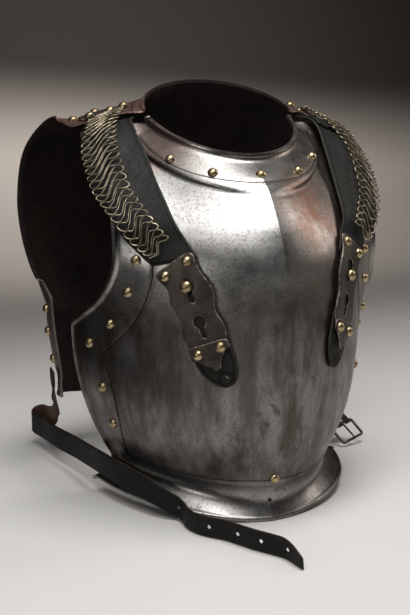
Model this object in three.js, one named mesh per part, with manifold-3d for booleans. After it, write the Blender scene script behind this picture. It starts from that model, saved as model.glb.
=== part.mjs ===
// A cavalry cuirass: breastplate, backplate, chained shoulder straps and a waist belt.
// Millimetres, +Z up. The wearer faces -Y, so the wearer's left side is +X.
// The origin is the middle of the bounding box's bottom face, where the cuirass stands.
import * as THREE from 'three';
import { mergeVertices } from 'three/addons/utils/BufferGeometryUtils.js';
import Module from 'manifold-3d';

const wasm = await Module();
wasm.setup();

// ---------------------------------------------------------------- driving sizes
const BREAST_WALL = 3.0;
const BACK_WALL = 2.0;
const LEATHER = 2.6;
const IRON = 1.6;
const GAP = 0.35;
const RIVET_RADIUS = 5.3;
const RIVET_HEIGHT = 4.4;
const RIVET_SIDES = 8;
const DOME_TURN = 40;
const STRAP_STEPS = 14;
const CHAIN_THICK = 4.2;
const KEYHOLE_RADIUS = 6.4;
const KEYHOLE_SLOT = 5.4;
const STUD_RADIUS = 6.0;
const STUD_NECK = 2.2;
const SCALLOP = 1.7;
const SCALLOP_PITCH = 37;
const LEAVE_PULL = 0.36;
const ARRIVE_PULL = 0.32;
const deg = THREE.MathUtils.degToRad;
const V = (x, y, z) => new THREE.Vector3(x, y, z);

// ---------------------------------------------------------------- colours
const paint = {
  steel: { color: 0x8d8a86, roughness: 0.34, metalness: 1 },
  dark_steel: { color: 0x3a302c, roughness: 0.5, metalness: 1 },
  iron: { color: 0x54494a, roughness: 0.5, metalness: 1 },
  brass: { color: 0xb08a4a, roughness: 0.32, metalness: 1 },
  leather: { color: 0x1d1c1a, roughness: 0.6, metalness: 0 },
};
const materials = {};
for (const [name, look] of Object.entries(paint)) {
  materials[name] = new THREE.MeshStandardMaterial(look);
}

// ---------------------------------------------------------------- the two plates
// Each row is one line across half a plate, from the middle to the edge.
// crease, bend and rise are degrees: how the row leaves the middle and meets the edge.
// fullness lengthens both pulls of the curve.
const COLUMNS = ['centreY', 'centreZ', 'edgeX', 'edgeY', 'edgeZ', 'crease', 'bend', 'rise', 'lip', 'fullness'];
const SHAPE_COLUMNS = ['edgeX', 'edgeY', 'edgeZ', 'lip'];
const BREAST = {
  front: -1,
  wall: BREAST_WALL,
  corners: [4, 11],
  table: [
    [-143, 41, 124, 4, 49, 5, 12, 4, 6.5, 1],
    [-158, 85, 142, 0, 85, 6, 13, 12, 6.5, 1],
    [-166, 125, 154, 0, 122, 8, 14, 24, 6.5, 1],
    [-171, 155, 160, 0, 155, 10, 15, 36, 6.5, 1],
    [-172, 180, 163, -3, 186, 11, 18, 46, 6.5, 1],
    [-172, 206, 148, -53, 218, 13, 36, 32, 7, 1],
    [-168, 240, 139, -77, 250, 13, 50, 16, 7, 1],
    [-164, 266, 137, -80, 278, 13, 58, 10, 7, 1],
    [-154, 291, 136, -68, 312, 13, 60, 22, 6, 1],
    [-143, 308, 130, -45, 348, 14, 55, 38, 5, 1],
    [-134, 320, 123, -20, 374, 15, 45, 46, 4, 1],
    [-128, 327, 117, -3, 388, 16, 32, 42, 2, 1],
    [-120, 336, 98, 2, 394, 5, -12, 42, 1.5, 1.2],
  ],
  waist: { drop: 41.3, sideDrop: 30, hollow: 9, sideHollow: 6, flare: -2, sideFlare: 18, lobe: 0.75 },
  neck: { x: 81.5, y: 12, depth: 98, z: 364.4, climb: 39.2, lip: 9 },
};
const BACK = {
  front: 1,
  wall: BACK_WALL,
  corners: [4, 10],
  table: [
    [204, 84, 154, 108, 110, 0, -8, 2, 4, 1],
    [201, 104, 158, 105, 132, 0, -10, 8, 4, 1],
    [200, 130, 162, 102, 156, 0, -12, 14, 4, 1],
    [201, 156, 165, 99, 180, 0, -12, 24, 4, 1],
    [201, 178, 166, 98, 198, 0, -10, 34, 4, 1],
    [198, 215, 176, 120, 226, 0, 12, 18, 6, 1],
    [190, 262, 185, 130, 270, 0, 28, 8, 6, 1],
    [180, 302, 187, 132, 315, 0, 36, 10, 6, 1],
    [163, 343, 179, 124, 363, 0, 42, 16, 6, 1],
    [140, 378, 157, 98, 396, 0, 50, 10, 5, 1],
    [128, 392, 149, 54, 390, 0, 30, -24, 1.5, 1],
    [108, 410, 118, 29, 400, 0, 20, -26, 1.5, 1],
    [86, 428, 88, 8, 409, 0, 4, -18, 1.5, 1],
  ],
  waist: { drop: 85.4, sideDrop: 28, hollow: 5, sideHollow: 1, flare: 24, sideFlare: 0, lobe: 0.55 },
  neck: { x: 84, y: 2, depth: 68, z: 439, climb: -33, lip: 10 },
};

function hermite(xs, ys, t) {
  const last = xs.length - 2;
  let i = 0;
  while (i < last && t > xs[i + 1]) i += 1;
  const chord = (k) => (ys[k + 1] - ys[k]) / (xs[k + 1] - xs[k]);
  const slope = (k) => {
    if (k === 0) return chord(0);
    if (k === xs.length - 1) return chord(k - 1);
    const before = xs[k] - xs[k - 1];
    const after = xs[k + 1] - xs[k];
    return (chord(k - 1) * after + chord(k) * before) / (before + after);
  };
  const h = xs[i + 1] - xs[i];
  const s = (t - xs[i]) / h;
  const s2 = s * s;
  const s3 = s2 * s;
  return (2 * s3 - 3 * s2 + 1) * ys[i] + (s3 - 2 * s2 + s) * h * slope(i)
    + (3 * s2 - 2 * s3) * ys[i + 1] + (s3 - s2) * h * slope(i + 1);
}

// One column of a table at row t, with a sharp corner kept at the given rows.
function tableValue(table, column, t, corners) {
  const stops = [0, ...corners, table.length - 1];
  let k = 1;
  while (k < stops.length - 1 && t > stops[k]) k += 1;
  const rows = [];
  for (let r = stops[k - 1]; r <= stops[k]; r += 1) rows.push(r);
  return hermite(rows, rows.map((r) => table[r][column]), t);
}

function plateRow(plate, v) {
  const row = {};
  COLUMNS.forEach((name, column) => {
    const corners = SHAPE_COLUMNS.includes(name) ? plate.corners : [];
    row[name] = tableValue(plate.table, column, v, corners);
  });
  return row;
}

// A point of the outer face: p runs from the middle (0) to the edge (1), v up the rows.
function platePoint(plate, p, v) {
  const row = plateRow(plate, v);
  const middle = V(0, row.centreY, row.centreZ);
  const edge = V(row.edgeX, row.edgeY, row.edgeZ);
  const reach = middle.distanceTo(edge);
  const crease = deg(row.crease);
  const bend = deg(row.bend);
  const rise = deg(row.rise);
  const leave = V(Math.cos(crease), -plate.front * Math.sin(crease), 0);
  const arrive = V(
    Math.sin(bend) * Math.cos(rise),
    -plate.front * Math.cos(bend) * Math.cos(rise),
    Math.sin(rise),
  );
  const first = middle.clone().addScaledVector(leave, LEAVE_PULL * reach * row.fullness);
  const second = edge.clone().addScaledVector(arrive, -ARRIVE_PULL * reach * row.fullness);
  const curve = new THREE.CubicBezierCurve3(middle, first, second, edge);
  return curve.getPoint(Math.abs(p)).multiply(V(p < 0 ? -1 : 1, 1, 1));
}

function plateNormal(plate, p, v) {
  const side = p < 0 ? -1 : 1;
  const q = Math.min(Math.max(Math.abs(p), 0.02), 0.98);
  const top = plate.table.length - 1;
  const w = Math.min(Math.max(v, 0.02), top - 0.02);
  const along = platePoint(plate, q + 0.02, w).sub(platePoint(plate, q - 0.02, w));
  const up = platePoint(plate, q, w + 0.02).sub(platePoint(plate, q, w - 0.02));
  const normal = along.cross(up).normalize();
  if (normal.y * plate.front < 0) normal.negate();
  return normal.multiply(V(side, 1, 1));
}

// The turned-out lip outside the edge: k runs from the edge (0) to the rim (1).
function lipPoint(plate, v, k) {
  const top = plate.table.length - 1;
  const edge = platePoint(plate, 1, v);
  const inward = platePoint(plate, 0.97, v).sub(edge).normalize();
  const before = platePoint(plate, 1, Math.max(v - 0.3, 0));
  const after = platePoint(plate, 1, Math.min(v + 0.3, top));
  const along = after.sub(before).normalize();
  const outward = inward.addScaledVector(along, -inward.dot(along)).normalize().negate();
  const normal = plateNormal(plate, 1, v);
  const turn = deg(70);
  const radius = plateRow(plate, v).lip / turn;
  return edge
    .addScaledVector(outward, radius * Math.sin(turn * k))
    .addScaledVector(normal, radius * (1 - Math.cos(turn * k)));
}

const mix = (a, b, t) => a + (b - a) * t;

// The waist: hollow below the last row, then a flange that flares to the bottom edge.
function waistPoint(plate, base, p, k) {
  const waist = plate.waist;
  const side = THREE.MathUtils.smoothstep(Math.abs(p), 0, waist.lobe);
  const drop = mix(waist.drop, waist.sideDrop, side) * k;
  const hollow = mix(waist.hollow, waist.sideHollow, side);
  const flare = mix(waist.flare, waist.sideFlare, side);
  const out = -hollow * Math.sin(Math.PI * Math.min(k * 1.1, 1)) + flare * k * k * k;
  const normal = plateNormal(plate, p, 0).setZ(0).normalize();
  return base.clone().addScaledVector(normal, out).add(V(0, 0, -drop));
}

// The neck: a band that rises to a standing rim.
function neckPoint(plate, base, p, lipShift, k) {
  const neck = plate.neck;
  const side = p < 0 ? -1 : 1;
  const turn = Math.atan2(Math.abs(base.x) / (neck.x * 1.12), Math.abs(base.y - neck.y) / neck.depth);
  const angle = Math.min(turn, deg(88));
  const out = V(side * Math.sin(angle), plate.front * Math.cos(angle), 0);
  const rimZ = neck.z + neck.climb * (1 - Math.cos(angle));
  const rim = V(side * neck.x * Math.sin(angle), neck.y + plate.front * neck.depth * Math.cos(angle), rimZ);
  rim.add(lipShift);
  const foot = rim.clone().addScaledVector(out, 2).add(V(0, 0, -neck.lip));
  if (k <= 0.6) return base.clone().lerp(foot, k / 0.6);
  const t = (k - 0.6) / 0.4;
  return foot.lerp(rim, t).addScaledVector(out, -1.6 * Math.sin(Math.PI * t));
}

// The whole outer face as a grid of points, lips, waist and neck included.
function plateGrid(plate, across, lipSteps, upSteps, waistSteps, neckSteps) {
  const top = plate.table.length - 1;
  const columns = [];
  for (const k of [...lipSteps].reverse()) columns.push({ p: -1, k });
  for (const p of [...across].reverse()) columns.push({ p: -p, k: 0 });
  for (const p of across.slice(1)) columns.push({ p, k: 0 });
  for (const k of lipSteps) columns.push({ p: 1, k });
  const at = (column, v) => {
    if (column.k === 0) return platePoint(plate, column.p, v);
    return lipPoint(plate, v, column.k).multiply(V(column.p, 1, 1));
  };
  const grid = [];
  for (const k of [...waistSteps].reverse()) {
    grid.push(columns.map((c) => waistPoint(plate, at(c, 0), c.p, k)));
  }
  for (let i = 0; i <= upSteps; i += 1) grid.push(columns.map((c) => at(c, (i / upSteps) * top)));
  for (const k of neckSteps) {
    grid.push(columns.map((c) => {
      const shift = at(c, top).sub(platePoint(plate, c.p, top));
      return neckPoint(plate, platePoint(plate, c.p, top), c.p, shift, k);
    }));
  }
  return grid;
}

function gridNormals(grid) {
  const rows = grid.length;
  const cols = grid[0].length;
  return grid.map((line, i) => line.map((_, j) => {
    const up = grid[Math.min(i + 1, rows - 1)][j].clone().sub(grid[Math.max(i - 1, 0)][j]);
    const along = grid[i][Math.min(j + 1, cols - 1)].clone().sub(grid[i][Math.max(j - 1, 0)]);
    return along.cross(up).normalize();
  }));
}

// A closed wall from two grids of points of the same size, face over back.
function wallGeometry(face, back) {
  const rows = face.length;
  const cols = face[0].length;
  const points = [...face.flat(), ...back.flat()];
  const offset = rows * cols;
  const index = [];
  const quad = (a, b, c, d) => index.push(a, b, c, a, c, d);
  const id = (i, j) => i * cols + j;
  for (let i = 0; i < rows - 1; i += 1) {
    for (let j = 0; j < cols - 1; j += 1) {
      quad(id(i, j), id(i, j + 1), id(i + 1, j + 1), id(i + 1, j));
      quad(offset + id(i, j), offset + id(i + 1, j), offset + id(i + 1, j + 1), offset + id(i, j + 1));
    }
  }
  for (let j = 0; j < cols - 1; j += 1) {
    quad(id(0, j), offset + id(0, j), offset + id(0, j + 1), id(0, j + 1));
    quad(id(rows - 1, j), id(rows - 1, j + 1), offset + id(rows - 1, j + 1), offset + id(rows - 1, j));
  }
  for (let i = 0; i < rows - 1; i += 1) {
    quad(id(i, 0), id(i + 1, 0), offset + id(i + 1, 0), offset + id(i, 0));
    quad(id(i, cols - 1), offset + id(i, cols - 1), offset + id(i + 1, cols - 1), id(i + 1, cols - 1));
  }
  const geometry = new THREE.BufferGeometry();
  geometry.setAttribute('position', new THREE.Float32BufferAttribute(points.flatMap((q) => [q.x, q.y, q.z]), 3));
  geometry.setIndex(index);
  return outwardGeometry(geometry);
}

function signedVolume(geometry) {
  const position = geometry.getAttribute('position');
  const index = geometry.getIndex();
  let total = 0;
  for (let i = 0; i < index.count; i += 3) {
    const [a, b, c] = [0, 1, 2].map((k) => V().fromBufferAttribute(position, index.getX(i + k)));
    total += a.dot(b.cross(c)) / 6;
  }
  return total;
}

function outwardGeometry(geometry) {
  if (signedVolume(geometry) < 0) {
    const index = geometry.getIndex();
    for (let i = 0; i < index.count; i += 3) {
      const a = index.getX(i);
      index.setX(i, index.getX(i + 1));
      index.setX(i + 1, a);
    }
  }
  return geometry;
}

const ACROSS = [0, 0.16, 0.33, 0.49, 0.63, 0.76, 0.88, 1];
const LIP_STEPS = [0.5, 1];
const UP_STEPS = 18;
const WAIST_STEPS = [0.2, 0.4, 0.6, 0.8, 1];
const NECK_STEPS = [0.3, 0.6, 0.8, 1];

function makePlate(plate) {
  const face = plateGrid(plate, ACROSS, LIP_STEPS, UP_STEPS, WAIST_STEPS, NECK_STEPS);
  const normals = gridNormals(face);
  const sign = normals[12][10].y * plate.front > 0 ? 1 : -1;
  const back = face.map((line, i) => line.map((q, j) => {
    return q.clone().addScaledVector(normals[i][j], -sign * plate.wall);
  }));
  return wallGeometry(face, back);
}

// ---------------------------------------------------------------- laying things on a plate
const REACH = 9;
const NEAR = 25;

// A fine grid of the outer face, to find the place and normal under a point.
function plateSamples(plate) {
  const across = [];
  for (let i = 0; i <= 26; i += 1) across.push(i / 26);
  const grid = plateGrid(plate, across, [0.5, 1], 72, [0.25, 0.5, 0.75, 1], [0.2, 0.4, 0.6, 0.8, 1]);
  const normals = gridNormals(grid);
  const sign = normals[40][24].y * plate.front > 0 ? 1 : -1;
  const facing = normals.flat().map((n) => n.multiplyScalar(sign));
  return grid.flat().map((point, i) => ({ point, normal: facing[i] }));
}

const breastSamples = plateSamples(BREAST);
const backSamples = plateSamples(BACK);

function nearest(samples, target) {
  let best = samples[0];
  let bestDistance = Infinity;
  for (const sample of samples) {
    const distance = sample.point.distanceToSquared(target);
    if (distance < bestDistance) {
      bestDistance = distance;
      best = sample;
    }
  }
  return best;
}

// The point at a height over a plate, on the normal through the target.
function lay(samples, target, height) {
  const hit = nearest(samples, target);
  const above = target.clone().sub(hit.point).dot(hit.normal);
  return target.clone().addScaledVector(hit.normal, height - above);
}

// How far a point must move along a direction to clear a plate by a height.
function clearance(samples, target, direction, height) {
  let lift = 0;
  for (const { point } of samples) {
    const d = point.clone().sub(target);
    const ahead = d.dot(direction);
    if (Math.abs(ahead) > NEAR) continue;
    if (d.lengthSq() - ahead * ahead < REACH * REACH) lift = Math.max(lift, ahead + height);
  }
  return lift;
}

// ---------------------------------------------------------------- small solids
function toManifold(geometry) {
  const bare = geometry.clone();
  bare.deleteAttribute('normal');
  bare.deleteAttribute('uv');
  const merged = mergeVertices(bare, 1e-3);
  return new wasm.Manifold(new wasm.Mesh({
    numProp: 3,
    vertProperties: new Float32Array(merged.getAttribute('position').array),
    triVerts: new Uint32Array(merged.getIndex().array),
  }));
}

function fromManifold(solid) {
  const mesh = solid.getMesh();
  const geometry = new THREE.BufferGeometry();
  geometry.setAttribute('position', new THREE.Float32BufferAttribute(mesh.vertProperties, 3));
  geometry.setIndex(Array.from(mesh.triVerts));
  return geometry;
}

// Turns a geometry made along +Z to stand at a place along a direction.
function standing(geometry, place, direction) {
  const turn = new THREE.Quaternion().setFromUnitVectors(V(0, 0, 1), direction);
  geometry.applyQuaternion(turn);
  geometry.translate(place.x, place.y, place.z);
  return geometry;
}

function domeProfile(radius, height, foot) {
  const profile = [new THREE.Vector2(0, foot), new THREE.Vector2(radius, foot)];
  profile.push(new THREE.Vector2(radius * Math.cos(deg(DOME_TURN)), height * Math.sin(deg(DOME_TURN))));
  profile.push(new THREE.Vector2(0, height));
  return profile;
}

function dome(radius, height, foot = 0) {
  const geometry = new THREE.LatheGeometry(domeProfile(radius, height, foot), RIVET_SIDES);
  geometry.rotateX(Math.PI / 2);
  return geometry;
}

function rivet(place, normal, radius = RIVET_RADIUS, height = RIVET_HEIGHT) {
  return standing(dome(radius, height), place.clone().addScaledVector(normal, 2 * GAP), normal);
}

// A strip of even thickness. Each station holds a centre, a sideways and an outward
// direction, and how far it reaches to either side.
function ribbon(stations, thickness, steps, settle = (q) => q) {
  const rows = [];
  for (const s of stations) {
    const row = [];
    for (let j = 0; j <= steps; j += 1) {
      const t = mix(-s.left, s.right, j / steps);
      row.push(settle(s.centre.clone().addScaledVector(s.side, t)));
    }
    rows.push(row);
  }
  const normals = gridNormals(rows);
  const sign = normals[1][0].dot(stations[1].normal) > 0 ? 1 : -1;
  const face = rows.map((line, i) => line.map((q, j) => {
    return q.clone().addScaledVector(normals[i][j], sign * thickness);
  }));
  return wallGeometry(face, rows);
}

// ---------------------------------------------------------------- shoulder straps
// The wearer's left side; the other side is mirrored. The leather's inner and outer
// edges, from under the backplate's shoulder down to the chest.
const LEATHER_ROUTE = [
  [90, 27, 409, 134, 56, 394],
  [95, 12, 402, 143, 36, 386],
  [100, -5, 395, 149, 14, 382],
  [101, -24, 383, 152, -4, 368],
  [98, -44, 364, 153, -21, 351],
  [96, -66, 341, 151, -40, 331],
  [93, -88, 320, 147, -60, 312],
  [90, -107, 301, 140, -82, 293],
  [83, -123, 283, 128, -96, 274],
  [78, -131, 271, 115, -106, 260],
];
// The chain's edges, from the anchor plate's knuckles down to the keyhole plate.
const CHAIN_ROUTE = [
  [103, 11, 408, 133, 33, 399],
  [110, 1, 400, 140, 20, 393],
  [118, -13, 386, 149, 2, 383],
  [121, -30, 368, 155, -13, 362],
  [121, -49, 346, 155, -31, 341],
  [117, -70, 324, 150, -48, 320],
  [108, -88, 306, 141, -67, 301],
  [98, -106, 289, 128, -88, 280],
  [89, -118, 279, 114, -102, 267],
];
const TUCK_ROWS = 1.4;
const REST_ROWS = 6.8;
const LEATHER_HEIGHT = 1.2;
const PLATE_HEIGHT = LEATHER_HEIGHT + LEATHER + 2 * GAP;
const CLIP_HEIGHT = PLATE_HEIGHT + IRON + GAP;

// Where each keyhole plate lies on the breast: its middle line, from the top down.
const STRAPS = [
  {
    name: 'right',
    sign: -1,
    axis: [[95, 264], [83, 240], [74, 208], [64, 176], [49, 146], [38, 125]],
    stud: 26,
    chainEnd: 8,
  },
  {
    name: 'left',
    sign: 1,
    axis: [[98, 275], [87, 250], [80, 220], [71, 188], [58, 153], [47, 129]],
    stud: 36,
    chainEnd: 7.6,
  },
];
const KEYPLATE_LENGTH = 92;
const KEYHOLES = [26, 62];
const SLOT_LENGTH = 14;
const KEYPLATE_HALF = 20.6;
const FORWARD_UP = V(0, -0.7, 0.7);

// The rows of a strip between two edges, as points.
function routeRows(route, sign, end, steps, across) {
  const rows = route.map((_, i) => i);
  const value = (column, t) => hermite(rows, route.map((r) => r[column]), t);
  const mirror = V(sign, 1, 1);
  const list = [];
  for (let i = 0; i <= steps; i += 1) {
    const t = (i / steps) * end;
    const inner = V(value(0, t), value(1, t), value(2, t)).multiply(mirror);
    const outer = V(value(3, t), value(4, t), value(5, t)).multiply(mirror);
    const row = [];
    for (let j = 0; j <= across; j += 1) row.push(inner.clone().lerp(outer, j / across));
    list.push({ t, row });
  }
  return list;
}

// Evens out a grid of lifts without letting any of them fall.
function easeLifts(lifts, rounds) {
  for (let k = 0; k < rounds; k += 1) {
    const last = lifts.map((line) => [...line]);
    lifts.forEach((line, i) => line.forEach((_, j) => {
      const around = [last[i - 1]?.[j], last[i + 1]?.[j], last[i][j - 1], last[i][j + 1]];
      const known = around.filter((q) => q !== undefined);
      const mean = known.reduce((a, b) => a + b, 0) / known.length;
      line[j] = Math.max(last[i][j], mean);
    }));
  }
}

// Lifts rows of points clear of the plates, each along its strip's own normal.
function liftRows(rows, height) {
  const grid = rows.map((r) => r.row);
  const normals = facingNormals(grid, FORWARD_UP);
  const lifts = grid.map((line, i) => line.map((q, j) => {
    if (rows[i].t < TUCK_ROWS) return 0;
    return clearance(breastSamples, q, normals[i][j], height);
  }));
  easeLifts(lifts, 3);
  return grid.map((line, i) => line.map((q, j) => q.clone().addScaledVector(normals[i][j], lifts[i][j])));
}

function facingNormals(grid, hint) {
  const normals = gridNormals(grid);
  const middle = normals[Math.floor(normals.length / 2)][1];
  const sign = middle.dot(hint) > 0 ? 1 : -1;
  return normals.map((line) => line.map((n) => n.multiplyScalar(sign)));
}

function thicken(grid, thickness, hint) {
  const normals = facingNormals(grid, hint);
  const face = grid.map((line, i) => line.map((q, j) => {
    return q.clone().addScaledVector(normals[i][j], thickness);
  }));
  return wallGeometry(face, grid);
}

const TUCK_DEPTH = BACK_WALL + GAP + 1.2 + LEATHER;

// The underside of a leather strap: tucked under the backplate, lifted over the
// breastplate's shoulder, then resting on the chest.
function leatherRows(strap) {
  const rows = routeRows(LEATHER_ROUTE, strap.sign, 9, STRAP_STEPS, 4);
  for (const r of rows) {
    if (r.t < TUCK_ROWS) r.row = r.row.map((q) => lay(backSamples, q, -TUCK_DEPTH));
  }
  const lifted = liftRows(rows, LEATHER_HEIGHT);
  return lifted.map((line, i) => {
    const rest = THREE.MathUtils.smoothstep(rows[i].t, REST_ROWS, REST_ROWS + 1);
    return line.map((q) => q.clone().lerp(lay(breastSamples, q, LEATHER_HEIGHT), rest));
  });
}

function leatherStrap(strap) {
  return thicken(leatherRows(strap), LEATHER, FORWARD_UP);
}

// The same grid of points with every cell split in four.
function denser(grid) {
  const fill = (line) => line.flatMap((q, j) => {
    return j === 0 ? [q] : [q.clone().lerp(line[j - 1], 0.5), q];
  });
  const full = grid.map(fill);
  return full.flatMap((line, i) => {
    return i === 0 ? [line] : [line.map((q, j) => q.clone().lerp(full[i - 1][j], 0.5)), line];
  });
}

const CHAIN_HEIGHT = LEATHER_HEIGHT + LEATHER + 2 * GAP;

function chainBand(strap) {
  const rows = routeRows(CHAIN_ROUTE, strap.sign, strap.chainEnd, STRAP_STEPS, 4);
  const leather = denser(denser(leatherRows(strap))).flat();
  const grid = rows.map((r) => r.row);
  const normals = facingNormals(grid, FORWARD_UP);
  const under = leather.map((point) => ({ point }));
  const lifts = grid.map((line, i) => line.map((q, j) => {
    const n = normals[i][j];
    const overPlate = clearance(breastSamples, q, n, CHAIN_HEIGHT);
    return Math.max(overPlate, clearance(under, q, n, LEATHER + 2 * GAP), clearance(backSamples, q, n, 1));
  }));
  easeLifts(lifts, 3);
  const base = grid.map((line, i) => line.map((q, j) => q.clone().addScaledVector(normals[i][j], lifts[i][j])));
  return thicken(base, CHAIN_THICK, FORWARD_UP);
}

// The middle line of a keyhole plate, laid on the breast at a distance s from its top.
function axisFrame(strap, s, height) {
  const lengths = [0];
  for (let i = 1; i < strap.axis.length; i += 1) {
    const dx = strap.axis[i][0] - strap.axis[i - 1][0];
    const dz = strap.axis[i][1] - strap.axis[i - 1][1];
    lengths.push(lengths[i - 1] + Math.hypot(dx, dz) * 1.05);
  }
  const place = (d) => {
    const x = strap.sign * hermite(lengths, strap.axis.map((q) => q[0]), d);
    const z = hermite(lengths, strap.axis.map((q) => q[1]), d);
    let q = V(x, -150, z);
    for (let i = 0; i < 4; i += 1) {
      const laid = lay(breastSamples, q, 0);
      q = V(x, laid.y, z);
    }
    return lay(breastSamples, q, height);
  };
  const centre = place(s);
  const down = place(s + 3).sub(place(s - 3)).normalize();
  const normal = nearest(breastSamples, centre).normal.clone();
  const side = down.clone().cross(normal).normalize();
  return { centre, down, side, normal };
}

function laidStrip(strap, length, start, halfWidth, thickness, height, rows) {
  const stations = [];
  for (let i = 0; i <= rows; i += 1) {
    const s = mix(0, length, i / rows);
    const half = halfWidth(s, length);
    stations.push({ ...axisFrame(strap, start + s, height), left: half, right: half });
  }
  return ribbon(stations, thickness, 4, (q) => lay(breastSamples, q, height));
}

function keyplateHalf(s) {
  return KEYPLATE_HALF + SCALLOP * Math.cos((2 * Math.PI * s) / SCALLOP_PITCH);
}

function keyholeCutter(strap, s) {
  const round = axisFrame(strap, s, PLATE_HEIGHT);
  const tail = axisFrame(strap, s + SLOT_LENGTH, PLATE_HEIGHT);
  const depth = 12;
  const cut = (place, radius) => {
    const geometry = new THREE.CylinderGeometry(radius, radius, depth, 12);
    geometry.rotateX(Math.PI / 2);
    return toManifold(standing(geometry, place, round.normal));
  };
  const slot = new THREE.BoxGeometry(KEYHOLE_SLOT, SLOT_LENGTH, depth);
  const basis = new THREE.Matrix4().makeBasis(round.side, round.normal.clone().cross(round.side), round.normal);
  slot.applyMatrix4(basis);
  const middle = round.centre.clone().add(tail.centre).multiplyScalar(0.5);
  slot.translate(middle.x, middle.y, middle.z);
  return cut(round.centre, KEYHOLE_RADIUS).add(cut(tail.centre, KEYHOLE_SLOT / 2)).add(toManifold(slot));
}

// A brass rivet fixed to a strap plate, sunk into it so that the two are one solid.
function fixedRivet(place, normal) {
  return toManifold(standing(dome(RIVET_RADIUS, RIVET_HEIGHT, -0.6), place, normal));
}

function acrossPlate(strap, s, t, height) {
  const frame = axisFrame(strap, s, height);
  const place = lay(breastSamples, frame.centre.clone().addScaledVector(frame.side, t), height);
  return { place, normal: nearest(breastSamples, place).normal };
}

function keyholePlate(strap) {
  let solid = toManifold(laidStrip(strap, KEYPLATE_LENGTH, 0, keyplateHalf, IRON, PLATE_HEIGHT, 15));
  for (const s of KEYHOLES) solid = solid.subtract(keyholeCutter(strap, s));
  for (const t of [-13, 13]) {
    const at = acrossPlate(strap, 7, t, PLATE_HEIGHT + IRON);
    solid = solid.add(fixedRivet(at.place, at.normal));
  }
  return fromManifold(solid);
}

const CLIP_LENGTH = 28;
const CLIP_START = 84;

function clipHalf(s, length) {
  const t = Math.max(0, s / length - 0.4) / 0.6;
  return mix(21, 2.4, t ** 0.6);
}

function clipPlate(strap) {
  let solid = toManifold(laidStrip(strap, CLIP_LENGTH, CLIP_START, clipHalf, IRON, CLIP_HEIGHT, 6));
  for (const t of [-12, 12]) {
    const at = acrossPlate(strap, CLIP_START + 8, t, CLIP_HEIGHT + IRON);
    solid = solid.add(fixedRivet(at.place, at.normal));
  }
  return fromManifold(solid);
}

const TIP_LENGTH = 54;
const TIP_START = 78;

function tipHalf(s, length) {
  const t = Math.max(0, s / length - 0.35) / 0.65;
  return mix(5, 20.5, (1 - t * t) ** 0.8);
}

function strapTip(strap) {
  return laidStrip(strap, TIP_LENGTH, TIP_START, tipHalf, LEATHER, LEATHER_HEIGHT, 9);
}

function strapStud(strap) {
  const foot = axisFrame(strap, strap.stud, GAP);
  const neckLength = PLATE_HEIGHT + IRON + 0.9;
  const profile = [new THREE.Vector2(0, 0), new THREE.Vector2(STUD_NECK, 0)];
  profile.push(new THREE.Vector2(STUD_NECK, neckLength), new THREE.Vector2(STUD_RADIUS, neckLength + 0.2));
  for (const angle of [25, 55]) {
    const around = STUD_RADIUS * Math.cos(deg(angle));
    profile.push(new THREE.Vector2(around, neckLength + 0.6 + 4 * Math.sin(deg(angle))));
  }
  profile.push(new THREE.Vector2(0, neckLength + 4.8));
  const geometry = new THREE.LatheGeometry(profile, 12);
  geometry.rotateX(Math.PI / 2);
  return standing(geometry, foot.centre, foot.normal);
}

// The iron anchor: a plate riveted on the backplate's shoulder, with two knuckles
// that hold the chain. Its corners are seen from above, on the wearer's left.
const ANCHOR = { innerBack: [107, 39], outerBack: [140, 62], innerFront: [100, 20], outerFront: [138, 47] };
const ANCHOR_HEIGHT = 1.1;
const ANCHOR_WALL = 2.2;
const ANCHOR_RIVETS = [[112, 30], [130, 44]];
const KNUCKLE_RADIUS = 2.7;
const KNUCKLE_LENGTH = 9;

function onShoulder(strap, x, y, height) {
  let q = V(strap.sign * x, y, 400);
  for (let i = 0; i < 5; i += 1) {
    const laid = lay(backSamples, q, 0);
    q = V(strap.sign * x, y, laid.z);
  }
  return lay(backSamples, q, height);
}

function anchorPlate(strap) {
  const grid = [0, 0.33, 0.66, 1].map((v) => [0, 0.25, 0.5, 0.75, 1].map((u) => {
    const back = [0, 1].map((k) => mix(ANCHOR.innerBack[k], ANCHOR.outerBack[k], u));
    const front = [0, 1].map((k) => mix(ANCHOR.innerFront[k], ANCHOR.outerFront[k], u));
    return onShoulder(strap, mix(back[0], front[0], v), mix(back[1], front[1], v), ANCHOR_HEIGHT);
  }));
  const up = V(strap.sign * 0.3, -0.2, 0.9);
  let solid = toManifold(thicken(grid, ANCHOR_WALL, up));
  const front = grid[3];
  const along = front[4].clone().sub(front[0]).normalize();
  const normal = facingNormals(grid, up)[3][2];
  const turn = new THREE.Quaternion().setFromUnitVectors(V(0, 1, 0), along);
  for (const t of [0.22, 0.78]) {
    const knuckle = new THREE.CylinderGeometry(KNUCKLE_RADIUS, KNUCKLE_RADIUS, KNUCKLE_LENGTH, 10);
    knuckle.applyQuaternion(turn);
    const place = front[0].clone().lerp(front[4], t).addScaledVector(normal, KNUCKLE_RADIUS);
    knuckle.translate(place.x, place.y, place.z);
    solid = solid.add(toManifold(knuckle));
  }
  for (const [x, y] of ANCHOR_RIVETS) {
    const place = onShoulder(strap, x, y, ANCHOR_HEIGHT + ANCHOR_WALL);
    solid = solid.add(fixedRivet(place, nearest(backSamples, place).normal));
  }
  return fromManifold(solid);
}

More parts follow.
